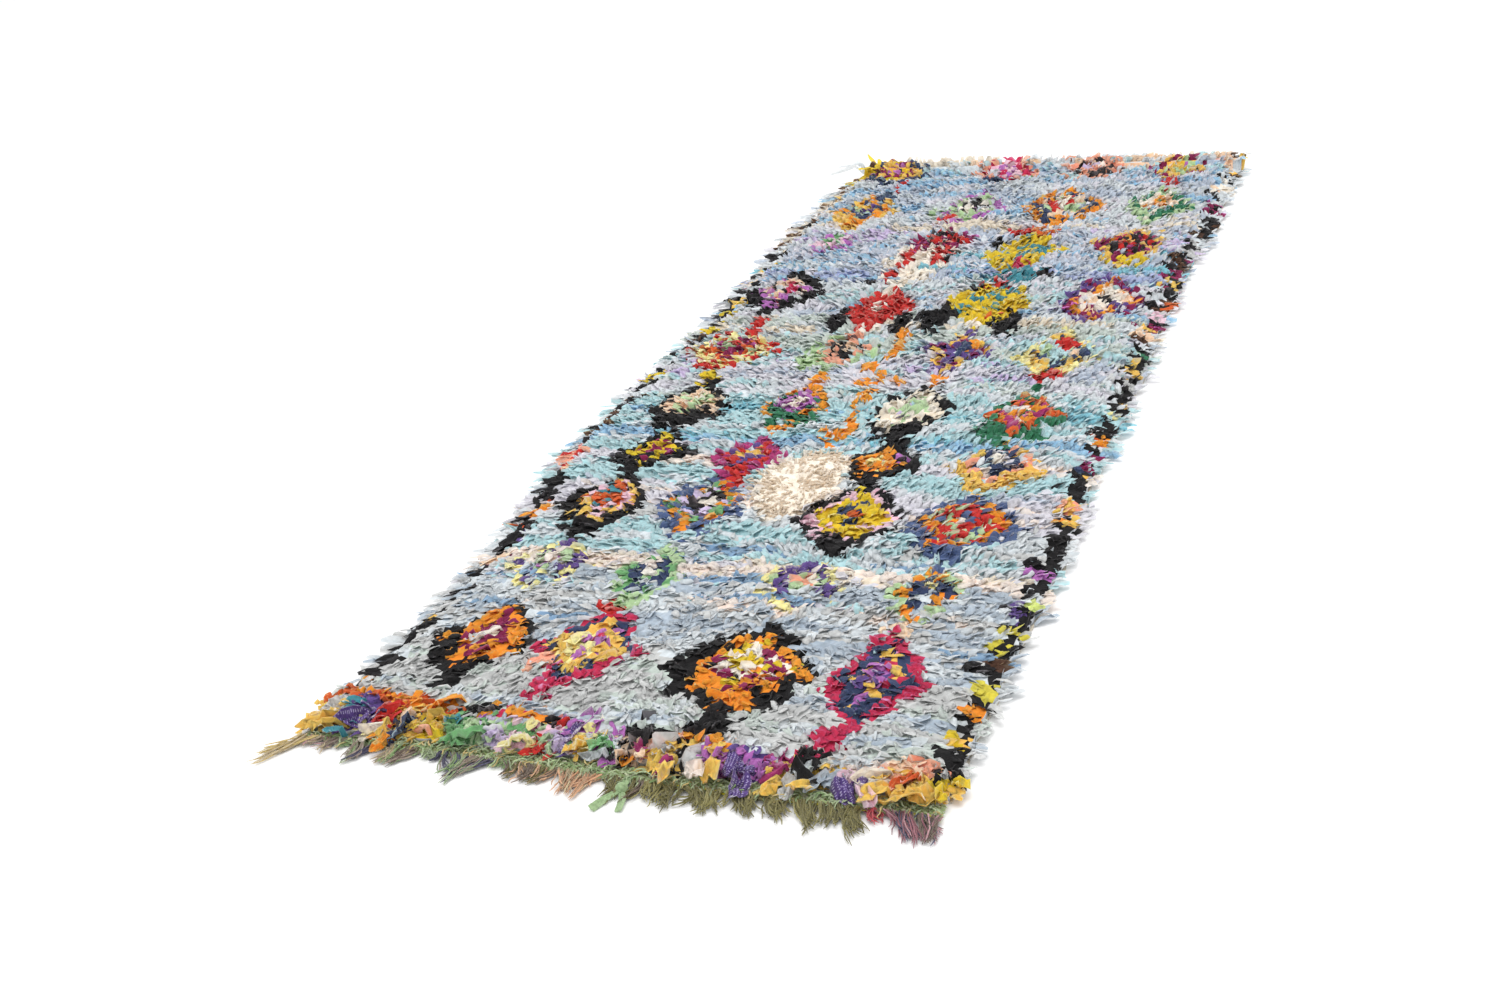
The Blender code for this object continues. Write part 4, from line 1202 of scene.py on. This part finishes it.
# The cream tuft. Curly cotton yarn, about 4 mm thick and softly twisted, knotted close together in
# the gap between four lozenges, a little lower than the rags round it.
TUFT_PITCH = 0.0053
TUFT_STRAY = 0.0012
TUFT_YARN = 0.0041
TUFT_THICKNESSES = (0.8, 1.2)
TUFT_TIP = 0.6
TUFT_REACH = 0.016
TUFT_SHARE = 0.86
TUFT_HEIGHTS = (0.8, 1.05)
TUFT_ARCH = 0.6
TUFT_CURL = 0.0017
TUFT_LOWEST = 0.003
TUFT_RINGS = 5
TUFT_CREAMS = ("dccab5", "d8c4ad", "e0d0bd", "d3bfa6")
FLUFF_PER_METRE = 450.0
YARN_SIDES = 4
YARN_CAPS = ((0, 1, 2, 3),)
# Any direction that no yarn follows, which gives each tube its sides.
TUBE_SIDE = (0.05, 0.02, 1.0)


def tubes(middle, radius):
    """The points of round tubes along paths: radius is given for each tube and ring."""
    tangent = directions(middle)
    side = np.cross(tangent, np.array(TUBE_SIDE))
    side /= np.linalg.norm(side, axis=2, keepdims=True)
    normal = np.cross(side, tangent)
    angle = math.pi - math.tau * np.arange(YARN_SIDES) / YARN_SIDES
    ring = side[:, :, None, :] * -np.cos(angle)[:, None] + normal[:, :, None, :] * np.sin(angle)[:, None]
    return middle[:, :, None, :] + ring * radius[:, :, None, None]


def spun_yarn(name, twist_pitch, depth):
    """Soft plied yarn: dull fibre with a slanting twist and a little fluff."""
    made, shader = new_material(
        name, 0.95, Sheen_Weight=0.2, Sheen_Roughness=0.5, Specular_IOR_Level=0.2,
        Subsurface_Weight=0.5, Subsurface_Radius=(1, 1, 1), Subsurface_Scale=0.003
    )
    colour = node(made, "ShaderNodeAttribute", {"attribute_name": "rag_colour"}).outputs["Color"]
    cloth = node(made, "ShaderNodeUVMap", {"uv_map": "cloth"}).outputs[0]
    slanted = node(made, "ShaderNodeMapping", Vector=cloth, Rotation=(0, 0, math.radians(35))).outputs[0]
    twist = node(made, "ShaderNodeTexWave", {"bands_direction": "Y"}, Vector=slanted,
                 Scale=WAVE_PERIOD / twist_pitch, Distortion=2.0, Detail=2.0).outputs[1]
    place = node(made, "ShaderNodeTexCoord").outputs["Object"]
    fluff = node(made, "ShaderNodeTexNoise", Vector=place, Scale=FLUFF_PER_METRE, Detail=3.0).outputs[0]
    value = node(made, "ShaderNodeMapRange", Value=fluff, From_Min=0.3, From_Max=0.7,
                 To_Min=0.82, To_Max=1.1).outputs[0]
    shaded = node(made, "ShaderNodeHueSaturation", Value=value, Color=colour).outputs[0]
    made.node_tree.links.new(shaded, shader.inputs["Base Color"])
    bump = node(made, "ShaderNodeBump", Height=twist, Strength=0.7, Distance=depth).outputs[0]
    made.node_tree.links.new(bump, shader.inputs["Normal"])
    return made


def curl(chance, count, rings, size):
    """Smooth random offsets that grow from nothing at the root of each yarn."""
    loose = np.cumsum(chance.normal(0, size, (count, rings, 3)), 1)
    return loose * np.linspace(0, 1, rings)[None, :, None]


tuft_yarn = spun_yarn("curly_cotton_yarn", twist_pitch=0.0022, depth=0.0006)
half_x, half_y = TUFT.half_width / 100, TUFT.half_length / 100
grid_x, grid_y = np.meshgrid(np.arange(-half_x, half_x, TUFT_PITCH), np.arange(-half_y, half_y, TUFT_PITCH))
spots = np.stack([grid_x.ravel(), grid_y.ravel()], 1) + chance.normal(0, TUFT_STRAY, (grid_x.size, 2))
spots += (TUFT.x / 100, TUFT.y / 100)
spots = spots[in_tuft(spots[:, 0], spots[:, 1]) < 1]
count = len(spots)
up = np.linspace(0, 1, TUFT_RINGS)
turn = nap_direction(spots[:, 0], spots[:, 1], chance)
high = np.array([pile_top(x, y) for x, y in spots]) * TUFT_SHARE * chance.uniform(*TUFT_HEIGHTS, count)
middle = np.zeros((count, TUFT_RINGS, 3))
middle[..., 0] = spots[:, None, 0] + TUFT_REACH * np.cos(turn)[:, None] * up ** 2
middle[..., 1] = spots[:, None, 1] + TUFT_REACH * np.sin(turn)[:, None] * up ** 2
middle[..., 2] = GROUND_THICKNESS + (high - GROUND_THICKNESS)[:, None] * np.sin(up * math.pi * TUFT_ARCH)
middle += curl(chance, count, TUFT_RINGS, TUFT_CURL)
middle[..., 2] = np.maximum(middle[..., 2], TUFT_LOWEST)
radius = TUFT_YARN / 2 * chance.uniform(*TUFT_THICKNESSES, (count, TUFT_RINGS))
radius[:, -1] *= TUFT_TIP
creams = np.array([linear(value) for value in TUFT_CREAMS])[chance.integers(len(TUFT_CREAMS), size=count)]
tuft = bundle("cream_tuft", tubes(middle, radius), creams, np.full(count, TUFT_YARN),
              high + TUFT_REACH, np.zeros(count), YARN_CAPS, chance)
dress(tuft, tuft_yarn, ["rag_pile"])

# The front heading. The weaver closes the end with five rows of green rag, each of two strips twisted
# round each other, and the warp passes over and under them. It is about 34 mm deep and 8 mm thick.
HEADING_ROWS = 5
HEADING_THICKNESS = 0.008
HEADING_DEPTH = 0.034
LEAST_GAP = 0.0003
PLY_RADIUS = 0.0019
PLY_FLATTENED = 0.8
PLY_FULLNESS = 1.05
PLY_UNEVEN = 0.10
PLY_END = 0.4
TWIST_PITCH = 0.021
TWIST_UNEVEN = 0.5
TWIST_WANDERS = 37
RING_STEP = 0.0035
ROW_WOBBLE = 0.0011
WOBBLE_LONG = 23
WOBBLE_SHORT = 61
WOBBLE_BY_ROW = 900
SWAY_PHASES = 6
RINGS_PER_COLOUR = 16
GREENS = ("adbd88", "c3cfa4", "9bae78", "b5c494", "d2d8b6", "9fae80")
YELLOW_STRIP = "d6c93e"
YELLOW_FROM = 0.14


def twisted_row(start_x, end_x, y, wave, chance):
    """The paths of two strips twisted round each other across the rug."""
    x = np.arange(start_x, end_x, RING_STEP)
    sway = np.sin(x * WOBBLE_LONG + chance.uniform(0, SWAY_PHASES))
    wobble = ROW_WOBBLE * sway * np.sin(x * WOBBLE_SHORT + y * WOBBLE_BY_ROW)
    paths = []
    for phase in (0, math.pi):
        angle = math.tau * x / TWIST_PITCH + phase + TWIST_UNEVEN * np.sin(x * TWIST_WANDERS)
        middle_y = y + wave * heading_wave(x) + wobble + PLY_RADIUS * np.cos(angle)
        middle_z = HEADING_THICKNESS / 2 + PLY_RADIUS * PLY_FLATTENED * np.sin(angle)
        paths.append(np.stack([x, middle_y, middle_z], 1))
    return np.array(paths)


def twisted_rows(start_x, end_x, rows, wave, hexes, chance):
    """A woven end: rows of twisted strips, whose colours change every few centimetres."""
    middle = np.concatenate([twisted_row(start_x, end_x, y, wave, chance) for y in rows])
    count, rings = middle.shape[:2]
    radius = PLY_RADIUS * (PLY_FULLNESS + PLY_UNEVEN * wander(chance, count, rings, 1)[:, :, 0])
    radius[:, 0] *= PLY_END
    radius[:, -1] *= PLY_END
    shades = np.array([linear(value) for value in hexes])
    stretches = chance.integers(len(shades), size=(count, rings // RINGS_PER_COLOUR + 1))
    lots = np.repeat(stretches, RINGS_PER_COLOUR, axis=1)[:, :rings]
    points = tubes(middle, radius)
    points[..., 2] = np.maximum(points[..., 2], LEAST_GAP)
    return middle, points, shades[lots]


tips_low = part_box("front_heading")[0]
heading_left, heading_right = float(across_to_x(0, pile_low.y)), float(across_to_x(1, pile_low.y))
edge_y = pile_low.y - HEADING_DEPTH
row_step = HEADING_DEPTH / HEADING_ROWS
heading_rows = [edge_y + row_step * (row + 0.5) for row in range(HEADING_ROWS)]
middle, points, tints = twisted_rows(heading_left, heading_right, heading_rows, 1, GREENS, chance)
yellow = middle[0, :, 0] > YELLOW_FROM
tints[0, yellow] = linear(YELLOW_STRIP)
twisted_rag = rag_material("twisted_green_rag", crease_width=0.0016, crease_length=0.006, depth=0.0007)
count = len(points)
heading = bundle("front_heading_rows", points, tints, np.full(count, 2 * math.pi * PLY_RADIUS),
                 np.full(count, heading_right - heading_left), np.zeros(count), YARN_CAPS, chance)
dress(heading, twisted_rag, ["front_heading"])

# The warp. Each pair of wool ends runs over and under the heading's rows, and shows between them.
WARP_PITCH = 0.0075
WARP_MARGIN = 0.004
WARP_RADIUS = 0.0009
WARP_STRAY = 0.0004
WARP_OUT = 0.001
WARP_OVER = 0.0006
WARP_ROUND = 0.005
WARP_PATH = 0.04
RINGS_PER_ROW = 4
WARP_COLOURS = ("868058", "9a956c", "a8a287", "77704c")

warp_x = np.arange(heading_left + WARP_MARGIN, heading_right - WARP_MARGIN, WARP_PITCH)
count, rings = len(warp_x), RINGS_PER_ROW * HEADING_ROWS + 1
along = np.linspace(0, 1, rings)
warp_y = edge_y - WARP_OUT + (pile_low.y - edge_y + WARP_OUT) * along
flip = np.where(np.arange(count) % 2, 1, -1)
middle = np.zeros((count, rings, 3))
middle[..., 0] = warp_x[:, None] + chance.normal(0, WARP_STRAY, (count, rings))
middle[..., 1] = warp_y + heading_wave(warp_x)[:, None]
middle[..., 2] = HEADING_THICKNESS / 2 + (HEADING_THICKNESS / 2) * (
    flip[:, None] * np.cos(along * math.pi * HEADING_ROWS)
)
middle[..., 2] = np.clip(middle[..., 2], WARP_RADIUS, HEADING_THICKNESS + WARP_OVER)
warp_wool = spun_yarn("wool_warp", twist_pitch=0.0016, depth=0.0004)
tints = np.array([linear(value) for value in WARP_COLOURS])[chance.integers(len(WARP_COLOURS), size=count)]
warp = bundle("front_heading_warp", tubes(middle, np.full((count, rings), WARP_RADIUS)), tints,
              np.full(count, WARP_ROUND), np.full(count, WARP_PATH), np.zeros(count), YARN_CAPS, chance)
dress(warp, warp_wool, ["front_heading"])

# The fringe. The warp ends are cut off 10 to 90 mm past the heading and left loose, so the wool
# untwists, kinks, clings together in pointed locks and lies on the floor. Each clump gives where it
# starts as a share of the width, its length as a share of FRINGE_REACH, its lean in metres, how far
# its locks draw together, how bushy it is, and its wools.
WOOLS = {
    "straw": "cdb67c", "beige": "bfae8e", "taupe": "9c8d80", "grey_green": "98a582", "brown": "75665a",
    "peach": "c79f80", "salmon": "d6a582", "olive": "716b40", "light_olive": "918a58", "red": "b84a52",
    "mauve": "93616a", "pale_mauve": "bb9095", "slate": "55536a", "sage": "8da873",
    "pale_green": "b4c69a",
}
Clump = collections.namedtuple("Clump", "start length lean gather bushy wools")
CLUMPS = (
    Clump(0.000, 1.04, -0.054, 0.9, 1.3, "straw straw beige"),
    Clump(0.022, 0.36, -0.010, 0.4, 1.2, "taupe pale_mauve beige"),
    Clump(0.072, 0.24, -0.004, 0.3, 0.9, "taupe sage"),
    Clump(0.086, 0.74, -0.008, 0.7, 1.1, "sage grey_green slate taupe"),
    Clump(0.140, 0.66, -0.014, 0.6, 1.0, "taupe brown beige sage"),
    Clump(0.212, 0.20, -0.004, 0.3, 0.9, "grey_green slate"),
    Clump(0.250, 0.74, -0.010, 0.6, 1.1, "grey_green taupe sage slate"),
    Clump(0.330, 0.16, -0.004, 0.3, 0.8, "sage grey_green"),
    Clump(0.352, 0.56, -0.004, 0.3, 1.2, "brown taupe peach olive"),
    Clump(0.440, 0.74, -0.004, 0.5, 1.1, "salmon peach salmon beige"),
    Clump(0.512, 0.72, 0.002, 0.4, 1.2, "olive brown olive"),
    Clump(0.575, 0.72, 0.006, 0.3, 1.4, "olive light_olive olive"),
    Clump(0.640, 0.70, 0.008, 0.3, 1.4, "olive light_olive olive"),
    Clump(0.700, 0.66, 0.010, 0.4, 1.4, "olive light_olive olive"),
    Clump(0.745, 0.62, 0.018, 0.4, 1.4, "olive light_olive olive"),
    Clump(0.795, 0.84, 0.020, 0.4, 1.4, "olive light_olive olive"),
    Clump(0.855, 0.84, 0.024, 0.5, 1.3, "olive olive light_olive"),
    Clump(0.892, 0.30, 0.006, 0.3, 1.2, "red mauve"),
    Clump(0.918, 0.78, 0.022, 0.4, 1.5, "mauve pale_mauve mauve slate brown"),
)
FRINGE_REACH = 0.088
FRINGE_LIMIT = 0.012
FRINGE_RADIUS = 0.00115
FRINGE_RINGS = 7
ENDS_PER_METRE = 820
ENDS_PER_LOCK = 8
LEAST_LOCKS = 2
LOCK_WIDTH = 0.013
LOCK_SPREAD = 0.0020
LOCK_STRAY = 0.002
LOCK_REACH = (0.70, 1.04)
SIDES_SHORTER = 0.34
LOCK_TIP_STRAY = 0.005
LOCK_BEND = 0.006
END_REACH = (0.55, 1.03)
END_LAYER = (0.1, 1)
END_INSIDE = 0.002
END_CURVE = 1.2
ROOT_RISE = 0.006
ROOT_FALL = 1.5
LAYER_RISE = 0.0045
LAYER_FALL = 0.5
FAVOURITE_SHARE = 0.7
WOOL_TONES = (0.75, 1.2)
RADIUS_RANGE = (0.75, 1.25)
CUT_END = 0.45
END_ROUND = 0.008
END_PATH = 0.06
KINK = 0.0019
KINK_UP = 0.4
TIE_X = 0.070
TIE_ROOM = 0.008

along = np.linspace(0, 1, FRINGE_RINGS)
ends = [clump.start for clump in CLUMPS[1:]] + [1.0]
paths, tints = [], []
fringe_width = heading_right - heading_left
for clump, end in zip(CLUMPS, ends):
    heart = heading_left + (clump.start + end) / 2 * fringe_width
    half = (end - clump.start) / 2 * fringe_width
    wools = clump.wools.split()
    locks = max(LEAST_LOCKS, round(2 * half * ENDS_PER_METRE * clump.bushy / ENDS_PER_LOCK))
    for lock in range(locks):
        lock_x = heart + half * (2 * (lock + 0.5) / locks - 1) + chance.normal(0, LOCK_STRAY)
        off = (lock_x - heart) / half
        longest = FRINGE_REACH * clump.length * (1 - SIDES_SHORTER * abs(off))
        lock_reach = longest * chance.uniform(*LOCK_REACH)
        drawn_in = lock_x - clump.gather * (lock_x - heart)
        lock_tip = drawn_in + clump.lean + chance.normal(0, LOCK_TIP_STRAY)
        bend = chance.normal(0, LOCK_BEND)
        favourite = wools[chance.integers(len(wools))]
        for _ in range(ENDS_PER_LOCK):
            x = lock_x + chance.normal(0, LOCK_WIDTH / 3)
            reach = lock_reach * chance.uniform(*END_REACH)
            tip_x = lock_tip + chance.normal(0, LOCK_SPREAD)
            layer = chance.uniform(*END_LAYER)
            start_y = edge_y + float(heading_wave(x)) + END_INSIDE
            if abs(x - TIE_X) < TIE_ROOM:
                continue
            root_high = layer * ROOT_RISE * (1 - along) ** ROOT_FALL
            layer_high = layer * LAYER_RISE * (1 - LAYER_FALL * along)
            paths.append(np.stack([
                x + (tip_x - x) * along ** END_CURVE + bend * np.sin(along * math.pi),
                start_y - reach * along,
                FRINGE_RADIUS + root_high + layer_high,
            ], 1))
            name = favourite if chance.random() < FAVOURITE_SHARE else wools[chance.integers(len(wools))]
            tone = np.append(np.full(3, chance.uniform(*WOOL_TONES)), 1)
            tints.append(np.array(linear(WOOLS[name])) * tone)

# Loose threads of the same green rag and wool lie over the heading and past its edge.
LOOSE_THREADS = 300
THREAD_COLOURS = ("sage", "pale_green", "straw", "pale_green", "grey_green")
THREAD_MARGIN = 0.01
THREAD_TURN = 250
THREAD_TURN_STRAY = 40
THREAD_REACH = (0.010, 0.026)
THREAD_START = 0.004
THREAD_TONES = (0.85, 1.2)
THREAD_GAP = 0.0012
THREAD_ARCH = 0.003
THREAD_DROP = 0.005

for _ in range(LOOSE_THREADS):
    x = chance.uniform(heading_left + THREAD_MARGIN, heading_right - THREAD_MARGIN)
    turn = math.radians(chance.normal(THREAD_TURN, THREAD_TURN_STRAY))
    reach = chance.uniform(*THREAD_REACH)
    front_y = edge_y + float(heading_wave(x))
    start_y = front_y + chance.uniform(THREAD_START, HEADING_DEPTH)
    drop = np.where(start_y + reach * math.sin(turn) * along < front_y, THREAD_DROP, 0)
    paths.append(np.stack([
        x + reach * math.cos(turn) * along, start_y + reach * math.sin(turn) * along,
        HEADING_THICKNESS + THREAD_GAP + THREAD_ARCH * np.sin(along * math.pi) - drop,
    ], 1))
    name = THREAD_COLOURS[chance.integers(len(THREAD_COLOURS))]
    tone = np.append(np.full(3, chance.uniform(*THREAD_TONES)), 1)
    tints.append(np.array(linear(WOOLS[name])) * tone)
middle = np.array(paths)
kink = curl(chance, len(middle), FRINGE_RINGS, KINK)
kink[..., 2] = np.abs(kink[..., 2]) * KINK_UP
middle += kink
middle[..., 1] = np.maximum(middle[..., 1], tips_low.y - FRINGE_LIMIT)
radius = FRINGE_RADIUS * chance.uniform(*RADIUS_RANGE, (len(middle), FRINGE_RINGS))
radius[:, -1] *= CUT_END
middle[..., 2] = np.maximum(middle[..., 2], radius + LEAST_GAP)
loose_wool = spun_yarn("loose_cut_wool", twist_pitch=0.0024, depth=0.0005)
fringe = bundle("warp_fringe", tubes(middle, radius), np.array(tints), np.full(len(middle), END_ROUND),
                np.full(len(middle), END_PATH), np.zeros(len(middle)), YARN_CAPS, chance)
dress(fringe, loose_wool, ["front_heading"])

# The green rag. One strip of sage cotton, 12 mm wide, drawn through the heading's edge and tied in a
# single knot, with two flat tails that lie on the floor.
SAGE = "9ab386"
TIE_WIDTH = 0.012
TIE_THICKNESS = 0.0022
TIE_COLUMNS = 5
TIE_RINGS = 14
TIE_CRUMPLE = 0.0012
RIPPLES_ACROSS = 9
RIPPLES_ALONG = 2
RIPPLE_STRAY = 0.25
LOOK_AHEAD = 0.05
NECK_LENGTH = 0.022
NECK_WIDTHS = (1.0, 0.8, 0.6)
TAIL_WIDTHS = (0.6, 0.85, 1.0)
BEND_AT = 0.45
BEND_HEIGHT = 0.0055
TIP_HEIGHT = 0.0035
KNOT_SIZE = (0.0085, 0.0080, 0.0062)
WRAP_RADIUS = 0.0066
WRAP_TUBE = 0.0032
WRAP_STRETCH = 1.25
TIE_SHARP_ANGLE = math.radians(50)
# The neck starts on the heading: how far behind its edge each point lies, and how high.
NECK_STARTS = ((0.006, 0.009), (-0.004, 0.008))
# The strip goes round the knot twice: each turn's heading and tilt in degrees.
WRAPS = ((20, 65), (-35, -70))
# A tail leaves the knot: how far sideways its middle and its tip lie, how far it reaches, its twist.
Tail = collections.namedtuple("Tail", "middle tip reach twist")
TAILS = (Tail(-0.014, -0.026, 0.050, 0.5), Tail(0.011, 0.015, 0.046, -0.35))


def strap(name, path, widths, twist, chance):
    """A flat torn strip along a path of points, a little crumpled."""
    bpy.ops.mesh.primitive_grid_add(x_subdivisions=TIE_COLUMNS, y_subdivisions=TIE_RINGS, size=1)
    piece = bpy.context.object
    piece.name = name
    shares = np.linspace(0, 1, len(path))
    path = np.array(path)
    for vert in piece.data.vertices:
        share, side = vert.co.y + 0.5, vert.co.x
        spot = [np.interp(share, shares, path[:, axis]) for axis in range(3)]
        ahead = [np.interp(share + LOOK_AHEAD, shares, path[:, axis]) for axis in range(3)]
        forth = Vector(ahead) - Vector(spot) if share < 1 - LOOK_AHEAD else forth
        across = forth.cross(Vector((0, 0, 1))).normalized()
        wide = np.interp(share, shares, widths) * side
        ripple = math.cos(RIPPLES_ACROSS * side + RIPPLES_ALONG * share)
        fold = TIE_CRUMPLE * (ripple + chance.normal(0, RIPPLE_STRAY))
        tilt = twist * share
        lift = Vector((0, 0, fold + wide * math.sin(tilt)))
        vert.co = Vector(spot) + across * wide * math.cos(tilt) + lift
        vert.co.z = max(vert.co.z, TIE_THICKNESS + LEAST_GAP)
    solid = piece.modifiers.new("thickness", "SOLIDIFY")
    solid.thickness = TIE_THICKNESS
    bpy.ops.object.modifier_apply(modifier=solid.name)
    return piece


neck_y = edge_y + float(heading_wave(TIE_X))
knot_y = neck_y - NECK_LENGTH
knot_spot = (TIE_X, knot_y, KNOT_SIZE[2] + LEAST_GAP)
neck = [(TIE_X, neck_y + behind, high) for behind, high in NECK_STARTS]
parts = [strap("tie_neck", neck + [knot_spot], [TIE_WIDTH * part for part in NECK_WIDTHS], 0, chance)]
for tail in TAILS:
    bend = (TIE_X + tail.middle, knot_y - tail.reach * BEND_AT, BEND_HEIGHT)
    tip = (TIE_X + tail.tip, knot_y - tail.reach, TIP_HEIGHT)
    tail_widths = [TIE_WIDTH * part for part in TAIL_WIDTHS]
    parts.append(strap("tie_tail", [knot_spot, bend, tip], tail_widths, tail.twist, chance))
bpy.ops.mesh.primitive_uv_sphere_add(segments=20, ring_count=12, radius=1, location=knot_spot)
knot = bpy.context.object
knot.scale = KNOT_SIZE
parts.append(knot)
for turn, tilt in WRAPS:
    bpy.ops.mesh.primitive_torus_add(
        major_segments=24, minor_segments=8, major_radius=WRAP_RADIUS, minor_radius=WRAP_TUBE,
        location=knot_spot, rotation=(math.radians(tilt), 0, math.radians(turn))
    )
    wrap = bpy.context.object
    wrap.scale = (1.0, 1.0, WRAP_STRETCH)
    parts.append(wrap)
bpy.ops.object.select_all(action="DESELECT")
for part in parts:
    part.select_set(True)
    bpy.context.view_layer.objects.active = part
bpy.ops.object.transform_apply(location=True, rotation=True, scale=True)
bpy.ops.object.join()
tie = bpy.context.object
tie.name = "knotted_green_rag"
for vert in tie.data.vertices:
    vert.co.z = max(vert.co.z, LEAST_GAP)
bpy.ops.object.shade_smooth_by_angle(angle=TIE_SHARP_ANGLE)
tie.select_set(False)

# Sage cotton, washed thin: dull, creased along the strip, a little paler where it was rubbed.
RUBS_PER_METRE = 220.0
SAGE_RELIEF = 0.0012

sage, sage_shader = new_material("sage_cotton_rag", 0.9, Sheen_Weight=0.2, Specular_IOR_Level=0.25)
place = node(sage, "ShaderNodeTexCoord").outputs["Object"]
rubbed = node(sage, "ShaderNodeTexNoise", Vector=place, Scale=RUBS_PER_METRE, Detail=3.0).outputs[0]
value = node(sage, "ShaderNodeMapRange", Value=rubbed, From_Min=0.3, From_Max=0.7,
             To_Min=0.72, To_Max=1.15).outputs[0]
shade = node(sage, "ShaderNodeHueSaturation", Value=value, Color=linear(SAGE)).outputs[0]
sage.node_tree.links.new(shade, sage_shader.inputs["Base Color"])
bump = node(sage, "ShaderNodeBump", Height=rubbed, Strength=0.8, Distance=SAGE_RELIEF).outputs[0]
sage.node_tree.links.new(bump, sage_shader.inputs["Normal"])
dress(tie, sage, ["green_tie"])

# The back heading. Two rows of pale orange and cream rag, twisted like the front ones, close the far
# end, and the last pile rows lean over them.
BACK_COLOURS = ("e2b08c", "ecd9c2", "d99a72", "e8cdb0", "c9b9a4")
BACK_ROWS = 2

back_low, back_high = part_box("back_heading")
back_left, back_right = float(across_to_x(0, back_low.y)), float(across_to_x(1, back_low.y))
back_step = (back_high.y - back_low.y) / BACK_ROWS
back_rows = [back_low.y + back_step * (row + 0.5) for row in range(BACK_ROWS)]
middle, points, tints = twisted_rows(back_left, back_right, back_rows, 0, BACK_COLOURS, chance)
count = len(points)
back = bundle("back_heading_rows", points, tints, np.full(count, 2 * math.pi * PLY_RADIUS),
              np.full(count, back_right - back_left), np.zeros(count), YARN_CAPS, chance)
dress(back, twisted_rag, ["back_heading"])
